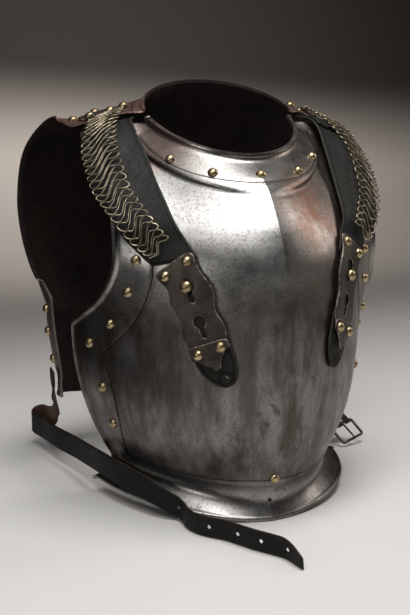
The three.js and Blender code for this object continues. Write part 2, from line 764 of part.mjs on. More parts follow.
// ---------------------------------------------------------------- waist belt
// Each row: centre x, y, z, then the width's direction and its half width.
const LONG_BELT = [
  [-161, 122, 112, 0.12, 0.99, 0.0, 13],
  [-160, 124, 96, 0.12, 0.99, 0.05, 13],
  [-158, 128, 76, 0.35, 0.85, -0.35, 13],
  [-153, 134, 60, 0.3, 0.45, -0.85, 13],
  [-151, 148, 50, 0.05, 0.1, -1, 13],
  [-152, 172, 42, 0, 0, -1, 13],
  [-152, 196, 38, 0, 0, -1, 13],
  [-156, 211, 34, 0, 0, -1, 13],
  [-163, 213, 31, 0, 0, -1, 13],
  [-167, 200, 29, 0, 0, -1, 13],
  [-161, 165, 29, 0, 0, -1, 13],
  [-156, 125, 29.5, 0, 0, -1, 13],
  [-146.5, 76, 30.5, 0, 0, -1, 13],
  [-142, 31, 33, 0, 0, -1, 13],
  [-139.5, -10.5, 36.5, 0, 0, -1, 13],
  [-132.5, -40, 35.2, 0, 0, -1, 13],
  [-122.5, -64, 31.8, 0, 0, -1, 13],
  [-111.5, -86, 27, 0, 0, -1, 12.6],
  [-99.5, -101, 20.3, 0, 0, -1, 11.8],
  [-91, -108, 15.5, 0, 0, -1, 11.2],
  [-88.5, -119, 13, 0, 0, -1, 11],
  [-89, -132, 11.8, 0, 0, -1, 10.9],
  [-86, -147, 11.3, 0.06, 0.03, -1, 10.8],
  [-79, -160, 11.3, 0.08, 0.04, -1, 10.8],
  [-67, -174, 11.3, 0.08, 0.04, -1, 10.8],
  [-58, -191, 11.3, 0.08, 0.04, -1, 10.8],
  [-49, -208, 11.3, 0.08, 0.04, -1, 10.8],
  [-39, -223, 11.2, 0.08, 0.04, -1, 10.7],
  [-32, -234.5, 10.9, 0.08, 0, -1, 10.4],
  [-29.5, -245, 9.9, 0.08, 0, -1, 9.4],
  [-28.5, -255, 8.2, 0.08, 0, -1, 7.7],
  [-27, -264.5, 5.8, 0.08, 0, -1, 5.3],
];
const SHORT_BELT = [
  [162, 122, 112, 0.12, -0.99, 0, 13],
  [162, 119, 96, 0.1, -0.99, 0.05, 13],
  [165, 112, 78, -0.1, -0.95, -0.1, 13],
  [171, 103, 60, -0.4, -0.85, -0.15, 13],
  [179, 92, 46, -0.7, -0.65, -0.2, 12.5],
  [187, 79, 34, -0.88, -0.42, -0.2, 12],
  [193, 68, 24, -0.93, -0.3, -0.2, 11.5],
];

function beltStations(table, steps) {
  const rows = table.map((_, i) => i);
  const value = (column, t) => hermite(rows, table.map((r) => r[column]), t);
  const stations = [];
  for (let i = 0; i <= steps; i += 1) {
    const t = (i / steps) * (table.length - 1);
    const centre = V(value(0, t), value(1, t), value(2, t));
    const side = V(value(3, t), value(4, t), value(5, t)).normalize();
    const half = value(6, t);
    stations.push({ centre, side, left: half, right: half });
  }
  return withRunningNormals(stations);
}

// Outward directions that follow the strip through its twists.
function withRunningNormals(stations) {
  const list = stations.map((s, i) => {
    const next = stations[Math.min(i + 1, stations.length - 1)].centre;
    const last = stations[Math.max(i - 1, 0)].centre;
    return { ...s, normal: next.clone().sub(last).cross(s.side).normalize() };
  });
  for (let i = 1; i < list.length; i += 1) {
    if (list[i].normal.dot(list[i - 1].normal) < 0) list[i].normal.negate();
  }
  return list;
}

function longBelt() {
  return ribbon(beltStations(LONG_BELT, 56), LEATHER, 2);
}

// The buckle at the short belt's end: run follows the strap, across its width.
const BUCKLE = { width: 34, length: 24, bar: 1.7, over: 5, lift: 0.75 };
const PIN = { radius: 1.25, ring: 3.4, ringWidth: 3, slack: 0.4, slot: 4.4 };

function buckleFrame() {
  const end = beltStations(SHORT_BELT, 14)[14];
  const last = beltStations(SHORT_BELT, 14)[13];
  const run = end.centre.clone().sub(last.centre);
  const across = end.side.clone().normalize();
  run.addScaledVector(across, -run.dot(across)).normalize();
  const normal = run.clone().cross(across).normalize();
  if (normal.dot(FORWARD_UP) < 0) normal.negate();
  const under = end.normal.dot(normal) < 0 ? LEATHER : 0;
  const near = end.centre.clone().addScaledVector(run, -BUCKLE.over)
    .addScaledVector(normal, -(BUCKLE.bar + BUCKLE.lift + under));
  return { near, run, across, normal };
}

function bar(from, to, radius, sides = 6) {
  const length = from.distanceTo(to);
  const geometry = new THREE.CylinderGeometry(radius, radius, length, sides);
  geometry.rotateX(Math.PI / 2);
  const direction = to.clone().sub(from).normalize();
  return toManifold(standing(geometry, from.clone().lerp(to, 0.5), direction));
}

function buckle() {
  const { near, run, across } = buckleFrame();
  const half = BUCKLE.width / 2;
  const corner = (i, j) => near.clone().addScaledVector(across, i * half).addScaledVector(run, j * BUCKLE.length);
  const grown = (i, j) => corner(i * (1 + BUCKLE.bar / half), j);
  const side = (i) => {
    const up = run.clone().multiplyScalar(BUCKLE.bar);
    return bar(corner(i, 0).sub(up), corner(i, 1).add(up), BUCKLE.bar);
  };
  const ends = bar(grown(-1, 0), grown(1, 0), BUCKLE.bar).add(bar(grown(-1, 1), grown(1, 1), BUCKLE.bar));
  return fromManifold(ends.add(side(-1)).add(side(1)));
}

function bucklePin() {
  const { near, run, across, normal } = buckleFrame();
  const half = across.clone().multiplyScalar(PIN.ringWidth / 2);
  const outer = bar(near.clone().sub(half), near.clone().add(half), PIN.ring, 12);
  const inside = across.clone().multiplyScalar(PIN.ringWidth);
  const inner = bar(near.clone().sub(inside), near.clone().add(inside), BUCKLE.bar + PIN.slack, 12);
  const root = near.clone().addScaledVector(normal, PIN.ring - PIN.radius * 0.8);
  const rest = BUCKLE.bar + PIN.radius + PIN.slack;
  const tip = near.clone().addScaledVector(run, BUCKLE.length + 2.4).addScaledVector(normal, rest);
  return fromManifold(outer.add(bar(root, tip, PIN.radius, 8)).subtract(inner));
}

function shortBelt() {
  const { near, run, across, normal } = buckleFrame();
  const strap = toManifold(ribbon(beltStations(SHORT_BELT, 14), LEATHER, 2));
  const slot = new THREE.BoxGeometry(PIN.slot, 18, 16);
  slot.applyMatrix4(new THREE.Matrix4().makeBasis(across, normal.clone().cross(across), normal));
  const middle = near.clone().addScaledVector(run, 18 / 2 - PIN.ring - 1);
  slot.translate(middle.x, middle.y, middle.z);
  return fromManifold(strap.subtract(toManifold(slot)));
}

// ---------------------------------------------------------------- the object
const model = new THREE.Group();

function add(name, geometry, material) {
  const mesh = new THREE.Mesh(geometry, materials[material]);
  mesh.name = name;
  model.add(mesh);
  return mesh;
}

// Cuts a flat foot where a plate stands on the floor.
function footed(geometry) {
  const floor = new THREE.BoxGeometry(800, 800, 100);
  floor.translate(0, 0, -50);
  return fromManifold(toManifold(geometry).subtract(toManifold(floor)));
}

add('breastplate', footed(makePlate(BREAST)), 'steel');
add('backplate', footed(makePlate(BACK)), 'dark_steel');

const MIDDLE = V(0, 0, 200);

const mirrored = (list) => ['right', 'left'].flatMap((side) => {
  const sign = side === 'right' ? -1 : 1;
  return list.map(([p, v], i) => ({ side, p: sign * p, v, number: i + 1 }));
});

function addPlateRivets(prefix, plate, list) {
  for (const { side, p, v, number } of mirrored(list)) {
    const place = platePoint(plate, p, v);
    const normal = plateNormal(plate, p, v);
    if (normal.dot(place.clone().sub(MIDDLE)) < 0) normal.negate();
    add(`${prefix}_${side}_${number}`, rivet(place, normal), 'brass');
  }
}

addPlateRivets('breast_arm_rivet', BREAST, [[0.9, 6.62], [0.9, 5.6], [0.88, 4.7]]);
addPlateRivets('breast_side_rivet', BREAST, [[0.88, 4.05], [0.81, 2.6], [0.82, 1.25]]);

addPlateRivets('back_side_rivet', BACK, [[0.92, 3.7], [0.92, 2.3], [0.92, 0.8]]);

const NECK_RIVETS = [
  { across: 0.57, up: 0.22 },
  { across: 0.28, up: 0.22 },
  { across: 0, up: 0.28 },
];

function neckPlace(p, k) {
  const top = BREAST.table.length - 1;
  return neckPoint(BREAST, platePoint(BREAST, p, top), p, V(0, 0, 0), k);
}

function addNeckRivets() {
  const spots = [...NECK_RIVETS, ...NECK_RIVETS.slice(0, 2).reverse()];
  spots.forEach(({ across, up }, i) => {
    const p = i < 2 ? -across : across;
    const place = neckPlace(p, up);
    const normal = neckPlace(p + 0.02, up).sub(place).cross(neckPlace(p, up + 0.05).sub(place)).normalize();
    if (normal.y > 0) normal.negate();
    add(`breast_neck_rivet_${i + 1}`, rivet(place, normal), 'brass');
  });
  const waistNormal = plateNormal(BREAST, 0, 0.1).setX(0).normalize();
  add('breast_waist_rivet', rivet(platePoint(BREAST, 0, 0.1), waistNormal), 'brass');
}
addNeckRivets();

const SHOULDER_RIVETS = [[97, 35], [121, 61], [142, 72]];

function addShoulderRivets() {
  for (const strap of STRAPS) {
    SHOULDER_RIVETS.forEach(([x, y], i) => {
      const place = onShoulder(strap, x, y, 0.9);
      const { normal } = nearest(backSamples, place);
      add(`back_shoulder_rivet_${strap.name}_${i + 1}`, rivet(place, normal), 'brass');
    });
  }
}
addShoulderRivets();

for (const strap of STRAPS) {
  add(`leather_strap_${strap.name}`, leatherStrap(strap), 'leather');
  add(`chain_${strap.name}`, chainBand(strap), 'brass');
  add(`anchor_plate_${strap.name}`, anchorPlate(strap), 'iron');
  add(`keyhole_plate_${strap.name}`, keyholePlate(strap), 'iron');
  add(`clip_plate_${strap.name}`, clipPlate(strap), 'iron');
  add(`strap_tip_${strap.name}`, strapTip(strap), 'leather');
  add(`strap_stud_${strap.name}`, strapStud(strap), 'brass');
}

add('belt_long', longBelt(), 'leather');
add('belt_short', shortBelt(), 'leather');
add('buckle_frame', buckle(), 'iron');
add('buckle_pin', bucklePin(), 'iron');

// Puts the origin at the middle of the bounding box's bottom face.
function centreModel() {
  model.updateMatrixWorld(true);
  const box = new THREE.Box3().setFromObject(model, true);
  const middle = box.getCenter(V());
  for (const mesh of model.children) mesh.geometry.translate(-middle.x, -middle.y, -box.min.z);
}
centreModel();

export default model;
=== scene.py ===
# A cavalry cuirass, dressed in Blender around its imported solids.
# Shapes are worked out in millimetres, with the cuirass's middle at X = 0, and place() puts
# them into the shared frame in metres.
import math
import bpy
import numpy as np
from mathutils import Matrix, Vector


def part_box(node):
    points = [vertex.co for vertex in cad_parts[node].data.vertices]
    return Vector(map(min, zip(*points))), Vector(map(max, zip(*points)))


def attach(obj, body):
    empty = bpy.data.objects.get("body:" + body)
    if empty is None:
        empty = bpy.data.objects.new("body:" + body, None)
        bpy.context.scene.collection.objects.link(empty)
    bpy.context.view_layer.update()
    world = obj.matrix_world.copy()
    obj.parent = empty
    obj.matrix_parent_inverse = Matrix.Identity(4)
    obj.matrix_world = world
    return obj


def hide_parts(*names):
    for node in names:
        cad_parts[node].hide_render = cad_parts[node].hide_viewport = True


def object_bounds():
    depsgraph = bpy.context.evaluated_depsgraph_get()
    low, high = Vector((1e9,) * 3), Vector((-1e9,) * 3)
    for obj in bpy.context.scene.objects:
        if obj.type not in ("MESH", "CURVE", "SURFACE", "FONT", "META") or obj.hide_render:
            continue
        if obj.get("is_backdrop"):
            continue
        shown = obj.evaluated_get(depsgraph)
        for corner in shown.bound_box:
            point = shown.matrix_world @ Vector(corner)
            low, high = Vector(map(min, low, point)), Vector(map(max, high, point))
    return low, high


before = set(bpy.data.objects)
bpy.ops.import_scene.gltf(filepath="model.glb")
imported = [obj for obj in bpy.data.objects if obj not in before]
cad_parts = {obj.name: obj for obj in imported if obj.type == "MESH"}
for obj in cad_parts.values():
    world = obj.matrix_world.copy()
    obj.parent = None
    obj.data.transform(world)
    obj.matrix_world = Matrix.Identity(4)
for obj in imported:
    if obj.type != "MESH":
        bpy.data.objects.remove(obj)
CAD_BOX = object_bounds()
BODY = "cuirass"
rng = np.random.default_rng(7)

# ------------------------------------------------------------------ where things are
BREAST_FRONT_Y = -172.333
breast_low, breast_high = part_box("breastplate")
SHIFT = np.array([-(breast_low[0] + breast_high[0]) * 500, BREAST_FRONT_Y - breast_low[1] * 1000, 0.0])


def place(points):
    return (np.asarray(points, float) - SHIFT) / 1000


# ------------------------------------------------------------------ the plates' shape
COLUMNS = ["cy", "cz", "ex", "ey", "ez", "crease", "bend", "rise", "lip", "fullness"]
SHAPE_COLUMNS = ["ex", "ey", "ez", "lip"]
BREAST = dict(
    front=-1, wall=3.0, corners=(4, 11),
    table=[
        [-143, 41, 124, 4, 49, 5, 12, 4, 6.5, 1],
        [-158, 85, 142, 0, 85, 6, 13, 12, 6.5, 1],
        [-166, 125, 154, 0, 122, 8, 14, 24, 6.5, 1],
        [-171, 155, 160, 0, 155, 10, 15, 36, 6.5, 1],
        [-172, 180, 163, -3, 186, 11, 18, 46, 6.5, 1],
        [-172, 206, 148, -53, 218, 13, 36, 32, 7, 1],
        [-168, 240, 139, -77, 250, 13, 50, 16, 7, 1],
        [-164, 266, 137, -80, 278, 13, 58, 10, 7, 1],
        [-154, 291, 136, -68, 312, 13, 60, 22, 6, 1],
        [-143, 308, 130, -45, 348, 14, 55, 38, 5, 1],
        [-134, 320, 123, -20, 374, 15, 45, 46, 4, 1],
        [-128, 327, 117, -3, 388, 16, 32, 42, 2, 1],
        [-120, 336, 98, 2, 394, 5, -12, 42, 1.5, 1.2],
    ],
    waist=dict(drop=41.3, side_drop=30, hollow=9, side_hollow=6, flare=-2, side_flare=18, lobe=0.75),
    neck=dict(x=81.5, y=12, depth=98, z=364.4, climb=39.2, lip=9),
)
BACK = dict(
    front=1, wall=2.0, corners=(4, 10),
    table=[
        [204, 84, 154, 108, 110, 0, -8, 2, 4, 1],
        [201, 104, 158, 105, 132, 0, -10, 8, 4, 1],
        [200, 130, 162, 102, 156, 0, -12, 14, 4, 1],
        [201, 156, 165, 99, 180, 0, -12, 24, 4, 1],
        [201, 178, 166, 98, 198, 0, -10, 34, 4, 1],
        [198, 215, 176, 120, 226, 0, 12, 18, 6, 1],
        [190, 262, 185, 130, 270, 0, 28, 8, 6, 1],
        [180, 302, 187, 132, 315, 0, 36, 10, 6, 1],
        [163, 343, 179, 124, 363, 0, 42, 16, 6, 1],
        [140, 378, 157, 98, 396, 0, 50, 10, 5, 1],
        [128, 392, 149, 54, 390, 0, 30, -24, 1.5, 1],
        [108, 410, 118, 29, 400, 0, 20, -26, 1.5, 1],
        [86, 428, 88, 8, 409, 0, 4, -18, 1.5, 1],
    ],
    waist=dict(drop=85.4, side_drop=28, hollow=5, side_hollow=1, flare=24, side_flare=0, lobe=0.55),
    neck=dict(x=84, y=2, depth=68, z=439, climb=-33, lip=10),
)
TOP = 12


def hermite(xs, ys, t):
    xs = np.asarray(xs, float)
    ys = np.asarray(ys, float)
    t = np.asarray(t, float)
    h = np.diff(xs)
    d = np.diff(ys) / h
    m = np.empty(len(xs))
    m[0], m[-1] = d[0], d[-1]
    if len(xs) > 2:
        m[1:-1] = (d[:-1] * h[1:] + d[1:] * h[:-1]) / (h[:-1] + h[1:])
    i = np.clip(np.searchsorted(xs, t, side="left") - 1, 0, len(xs) - 2)
    s = (t - xs[i]) / h[i]
    s2, s3 = s * s, s * s * s
    return ((2 * s3 - 3 * s2 + 1) * ys[i] + (s3 - 2 * s2 + s) * h[i] * m[i]
            + (3 * s2 - 2 * s3) * ys[i + 1] + (s3 - s2) * h[i] * m[i + 1])


def row_values(plate, v):
    table = np.array(plate["table"], float)
    v = np.clip(np.asarray(v, float), 0, TOP)
    out = {}
    for c, name in enumerate(COLUMNS):
        if name in SHAPE_COLUMNS:
            stops = [0, *plate["corners"], TOP]
            value = np.zeros_like(v)
            for a, b in zip(stops[:-1], stops[1:]):
                part = (v > a) | (a == 0)
                got = hermite(np.arange(a, b + 1), table[a:b + 1, c], np.clip(v, a, b))
                value = np.where(part, got, value)
            out[name] = value
        else:
            out[name] = hermite(np.arange(TOP + 1), table[:, c], v)
    return out


def plate_point(plate, p, v):
    p, v = np.broadcast_arrays(np.asarray(p, float), np.asarray(v, float))
    r = row_values(plate, v)
    zero = np.zeros_like(v)
    middle = np.stack([zero, r["cy"], r["cz"]], -1)
    edge = np.stack([r["ex"], r["ey"], r["ez"]], -1)
    reach = np.linalg.norm(edge - middle, axis=-1) * r["fullness"]
    a, b, c = (np.radians(r[k]) for k in ("crease", "bend", "rise"))
    s = -plate["front"]
    leave = np.stack([np.cos(a), s * np.sin(a), zero], -1)
    arrive = np.stack([np.sin(b) * np.cos(c), s * np.cos(b) * np.cos(c), np.sin(c)], -1)
    first = middle + leave * (0.36 * reach)[..., None]
    second = edge - arrive * (0.32 * reach)[..., None]
    q = np.abs(p)[..., None]
    w = 1 - q
    point = w ** 3 * middle + 3 * w * w * q * first + 3 * w * q * q * second + q ** 3 * edge
    point[..., 0] *= np.where(p < 0, -1, 1)
    return point


def unit(a):
    return a / np.maximum(np.linalg.norm(a, axis=-1, keepdims=True), 1e-9)


def plate_normal(plate, p, v):
    p, v = np.broadcast_arrays(np.asarray(p, float), np.asarray(v, float))
    side = np.where(p < 0, -1.0, 1.0)
    q = np.clip(np.abs(p), 0.02, 0.98)
    w = np.clip(v, 0.02, TOP - 0.02)
    along = plate_point(plate, q + 0.02, w) - plate_point(plate, q - 0.02, w)
    up = plate_point(plate, q, w + 0.02) - plate_point(plate, q, w - 0.02)
    n = unit(np.cross(along, up))
    n = n * np.where(n[..., 1:2] * plate["front"] < 0, -1, 1)
    n[..., 0] *= side
    return n


def lip_point(plate, v, k):
    v = np.asarray(v, float)
    edge = plate_point(plate, 1, v)
    inward = unit(plate_point(plate, 0.97, v) - edge)
    along = unit(plate_point(plate, 1, np.minimum(v + 0.3, TOP)) - plate_point(plate, 1, np.maximum(v - 0.3, 0)))
    outward = -unit(inward - along * (inward * along).sum(-1, keepdims=True))
    n = plate_normal(plate, 1, v)
    turn = math.radians(70)
    radius = (row_values(plate, v)["lip"] / turn)[..., None]
    return edge + outward * radius * math.sin(turn * k) + n * radius * (1 - math.cos(turn * k))


def smooth(t, a, b):
    t = np.clip((np.asarray(t, float) - a) / (b - a), 0, 1)
    return t * t * (3 - 2 * t)


def waist_point(plate, base, p, k):
    w = plate["waist"]
    side = smooth(np.abs(p), 0, w["lobe"])
    mix = lambda a, b: w[a] + (w[b] - w[a]) * side
    out = -mix("hollow", "side_hollow") * np.sin(math.pi * min(k * 1.1, 1)) + mix("flare", "side_flare") * k ** 3
    n = plate_normal(plate, p, np.zeros_like(p))
    n[..., 2] = 0
    point = base + unit(n) * out[..., None]
    point[..., 2] -= mix("drop", "side_drop") * k
    return point


def neck_point(plate, base, p, lip_shift, k):
    neck = plate["neck"]
    side = np.where(p < 0, -1.0, 1.0)
    turn = np.arctan2(np.abs(base[..., 0]) / (neck["x"] * 1.12), np.abs(base[..., 1] - neck["y"]) / neck["depth"])
    angle = np.minimum(turn, math.radians(88))
    zero = np.zeros_like(angle)
    out = np.stack([side * np.sin(angle), plate["front"] * np.cos(angle), zero], -1)
    rim = np.stack([side * neck["x"] * np.sin(angle), neck["y"] + plate["front"] * neck["depth"] * np.cos(angle),
                    neck["z"] + neck["climb"] * (1 - np.cos(angle))], -1) + lip_shift
    foot = rim + out * 2 - np.array([0, 0, neck["lip"]])
    if k <= 0.6:
        return base + (foot - base) * k / 0.6
    t = (k - 0.6) / 0.4
    return foot + (rim - foot) * t - out * 1.6 * math.sin(math.pi * t)


def plate_grid(plate, across, lips, ups, waists, necks):
    p = np.concatenate([[-1] * len(lips), -across[::-1], across[1:], [1] * len(lips)]).astype(float)
    k = np.concatenate([lips[::-1], [0] * (2 * len(across) - 1), lips]).astype(float)

    def at(v):
        row = plate_point(plate, p, np.full_like(p, v))
        for j in np.nonzero(k)[0]:
            q = lip_point(plate, v, k[j])
            row[j] = q * np.array([p[j], 1, 1])
        return row

    low, high = at(0), at(TOP)
    shift = high - plate_point(plate, p, np.full_like(p, TOP))
    rows = [waist_point(plate, low, p, w) for w in waists[::-1]]
    rows += [at(v) for v in ups]
    rows += [neck_point(plate, plate_point(plate, p, np.full_like(p, TOP)), p, shift, n) for n in necks]
    return np.array(rows)


def grid_normals(grid, hint):
    up = np.gradient(grid, axis=0)
    along = np.gradient(grid, axis=1)
    n = unit(np.cross(along, up))
    i, j = grid.shape[0] // 2, grid.shape[1] // 2
    return n if n[i, j] @ np.asarray(hint, float) > 0 else -n


# ------------------------------------------------------------------ meshes
def new_mesh(name, verts, faces, materials, kinds=None):
    """kinds: for each face, which of the materials it has."""
    mesh = bpy.data.meshes.new(name)
    mesh.from_pydata([tuple(q) for q in place(verts)], [], [tuple(int(i) for i in f) for f in faces])
    for material in materials:
        mesh.materials.append(material)
    if kinds is not None and len(kinds) == len(mesh.polygons):
        mesh.polygons.foreach_set("material_index", np.asarray(kinds, dtype=np.int32))
    mesh.polygons.foreach_set("use_smooth", np.full(len(mesh.polygons), True))
    mesh.update()
    piece = bpy.data.objects.new(name, mesh)
    bpy.context.scene.collection.objects.link(piece)
    return piece


def put_attribute(piece, name, values):
    attribute = piece.data.attributes.new(name, "FLOAT", "POINT")
    attribute.data.foreach_set("value", np.asarray(values, dtype=np.float32))


def outward(verts, faces):
    """The faces, all turned over if they enclose a negative volume."""
    tri = [f[:3] for f in faces] + [(f[0], f[2], f[3]) for f in faces if len(f) == 4]
    tri = np.array(tri)
    a, b, c = verts[tri[:, 0]], verts[tri[:, 1]], verts[tri[:, 2]]
    if np.einsum("ij,ij->", a, np.cross(b, c)) < 0:
        return [tuple(reversed(f)) for f in faces]
    return faces


def wall(face, back, keep):
    """A closed sheet between two grids of points, without the cells that keep leaves out."""
    rows, cols = face.shape[:2]
    verts = np.concatenate([face.reshape(-1, 3), back.reshape(-1, 3)])
    off = rows * cols
    ids = np.arange(off).reshape(rows, cols)
    padded = np.pad(keep, 1)
    faces, kinds = [], []
    for i, j in np.argwhere(keep):
        a, b, c, d = (int(q) for q in (ids[i, j], ids[i, j + 1], ids[i + 1, j + 1], ids[i + 1, j]))
        faces += [(a, b, c, d), (a + off, d + off, c + off, b + off)]
        kinds += [0, 1]
        sides = ((a, b, i - 1, j), (b, c, i, j + 1), (c, d, i + 1, j), (d, a, i, j - 1))
        for p, q, x, y in sides:
            if not padded[x + 1, y + 1]:
                faces.append((q, p, p + off, q + off))
                kinds.append(0)
    return verts, outward(verts, faces), kinds


def rim_of(keep):
    """The grid points between a kept cell and one that is left out."""
    rows, cols = keep.shape
    kept, gone = np.zeros((2, rows + 1, cols + 1), bool)
    for i in (0, 1):
        for j in (0, 1):
            kept[i:rows + i, j:cols + j] |= keep
            gone[i:rows + i, j:cols + j] |= ~keep
    return kept & gone


def sharpen(piece, degrees):
    piece.data.set_sharp_from_angle(angle=math.radians(degrees))


def square_to(n, ref):
    """Two unit vectors square to n."""
    a = unit(np.cross(n, ref))
    return a, np.cross(n, a)


def rings_round(centres, a, b, radii, sides):
    """One ring of points round each centre, in the plane of its a and b."""
    turn = 2 * math.pi * np.arange(sides)[:, None] / sides
    a, b = np.asarray(a)[..., None, :], np.asarray(b)[..., None, :]
    return np.asarray(centres)[:, None] + (a * np.cos(turn) + b * np.sin(turn)) * np.asarray(radii)[:, None, None]


def skins_piece(name, skins, material, sharp=None, edge=None, closed=False):
    """One mesh of closed skins, each a run of rings: capped, or joined end to end."""
    verts, faces = [], []
    for rings in skins:
        count, sides = rings.shape[:2]
        start = len(verts)
        for i in range(count if closed else count - 1):
            here, there = start + i * sides, start + (i + 1) % count * sides
            for k in range(sides):
                q = (k + 1) % sides
                faces.append((here + k, here + q, there + q, there + k))
        if not closed:
            faces.append(tuple(start + k for k in range(sides))[::-1])
            faces.append(tuple(start + (count - 1) * sides + k for k in range(sides)))
        verts += list(rings.reshape(-1, 3))
    verts = np.array(verts)
    piece = new_mesh(name, verts, outward(verts, faces), [material])
    # edge: one edge_mm for the whole piece; on iron, small values take on part of the painted edge highlight.
    if edge is not None:
        put_attribute(piece, "edge_mm", np.full(len(verts), edge))
    if sharp is not None:
        sharpen(piece, sharp)
    return piece


def dress(piece, slot, *nodes, body=BODY):
    """What every piece is told: its body and the nodes that it replaces; slot is not used."""
    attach(piece, body)
    if nodes:
        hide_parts(*nodes)
    return piece


# ------------------------------------------------------------------ materials
class Look:
    """Builds one procedural material. Its methods return sockets, so that they nest."""

    def __init__(self, name, metallic, roughness, specular=0.5):
        self.material = bpy.data.materials.new(name)
        self.material.use_nodes = True
        self.tree = self.material.node_tree
        self.shader = self.tree.nodes["Principled BSDF"]
        self.feed(self.shader, {"Metallic": metallic, "Roughness": roughness, "Specular IOR Level": specular})
        self.where = self.node("TexCoord").outputs["Object"]

    def feed(self, node, inputs):
        """Sets a node's inputs from numbers, colours, vectors or other nodes' outputs."""
        for name, value in inputs.items():
            socket = node.inputs[name]
            if isinstance(value, bpy.types.NodeSocket):
                self.tree.links.new(value, socket)
            elif isinstance(value, tuple) and len(socket.default_value) == 4:
                socket.default_value = (*value, 1)
            else:
                socket.default_value = value

    def node(self, kind, inputs=None, **settings):
        node = self.tree.nodes.new("ShaderNode" + kind)
        for name, value in settings.items():
            setattr(node, name, value)
        self.feed(node, inputs or {})
        return node

    def noise(self, scale, detail=6, rough=0.55, stretch=None, distortion=0.0):
        where = self.where
        if stretch:
            where = self.node("Mapping", {"Vector": where, "Scale": stretch}).outputs["Vector"]
        return self.node("TexNoise", {"Vector": where, "Scale": scale, "Detail": detail,
                                      "Roughness": rough, "Distortion": distortion}).outputs["Fac"]

    def cells(self, scale):
        return self.node("TexVoronoi", {"Vector": self.where, "Scale": scale}).outputs["Distance"]

    def ramp(self, value, low, high, out_low=0.0, out_high=1.0):
        ends = {"From Min": low, "From Max": high, "To Min": out_low, "To Max": out_high}
        return self.node("MapRange", {"Value": value, **ends}, interpolation_type="SMOOTHSTEP").outputs["Result"]

    def math(self, kind, a, b):
        return self.node("Math", {0: a, 1: b}, operation=kind).outputs[0]

    def times(self, a, b):
        return self.math("MULTIPLY", a, b)

    def plus(self, a, b):
        return self.math("ADD", a, b)

    def most(self, a, b):
        return self.math("MAXIMUM", a, b)

    def mix(self, fac, a, b):
        return self.node("Mix", {"Factor": fac, 6: a, 7: b}, data_type="RGBA").outputs[2]

    def attribute(self, name):
        return self.node("Attribute", attribute_name=name).outputs["Fac"]

    def axis(self, which):
        return self.node("SeparateXYZ", {0: self.where}).outputs[which]

    def blob(self, centre, radius, soft=0.5):
        """1 within a ball round a place on the object (in the tables' mm), fading to 0."""
        away = self.node("VectorMath", {0: self.where, 1: tuple(place(centre))}, operation="DISTANCE")
        return self.ramp(away.outputs["Value"], radius / 1000 * soft, radius / 1000, 1.0, 0.0)

    def finish(self, color, roughness=None, bump=None, strength=0.2, distance=0.0004):
        self.feed(self.shader, {"Base Color": color})
        if roughness is not None:
            self.feed(self.shader, {"Roughness": roughness})
        if bump is not None:
            node = self.node("Bump", {"Strength": strength, "Distance": distance, "Height": bump})
            self.feed(self.shader, {"Normal": node.outputs["Normal"]})
        return self.material


def border_lines(k, colour, bump, dark, strength):
    """The fine dark line along a plate's riveted borders, and the step of its edge."""
    side, neck, waist = (k.attribute(n) for n in ("side_mm", "neck_mm", "waist_mm"))
    wobble = k.ramp(k.noise(140, 2), 0.3, 0.7, -0.25, 0.25)

    def line(field, at, width):
        off = k.math("ABSOLUTE", k.math("SUBTRACT", k.plus(field, wobble), at), 0)
        return k.ramp(off, width * 0.4, width, 1.0, 0.0)

    above = k.ramp(waist, -0.5, 0.5)
    below = k.ramp(neck, -0.5, 0.5)
    seam = k.times(line(side, -0.3, 1.1), k.times(above, below))
    seam = k.most(seam, k.times(line(neck, 0.3, 0.9), 0.8))
    inside = k.ramp(side, 1.0, -1.0)
    seam = k.most(seam, k.times(line(waist, 0.3, 0.9), k.times(inside, 0.85)))
    halo = k.most(line(side, -1.5, 5.0), line(neck, 1.2, 4.0))
    halo = k.times(k.most(halo, line(waist, 1.2, 5.0)), 0.3 * strength)
    colour = k.mix(halo, colour, dark)
    colour = k.mix(k.times(seam, 0.92 * strength), colour, (0.008, 0.006, 0.005))
    return colour, k.math("SUBTRACT", bump, k.times(seam, 1.6)), seam


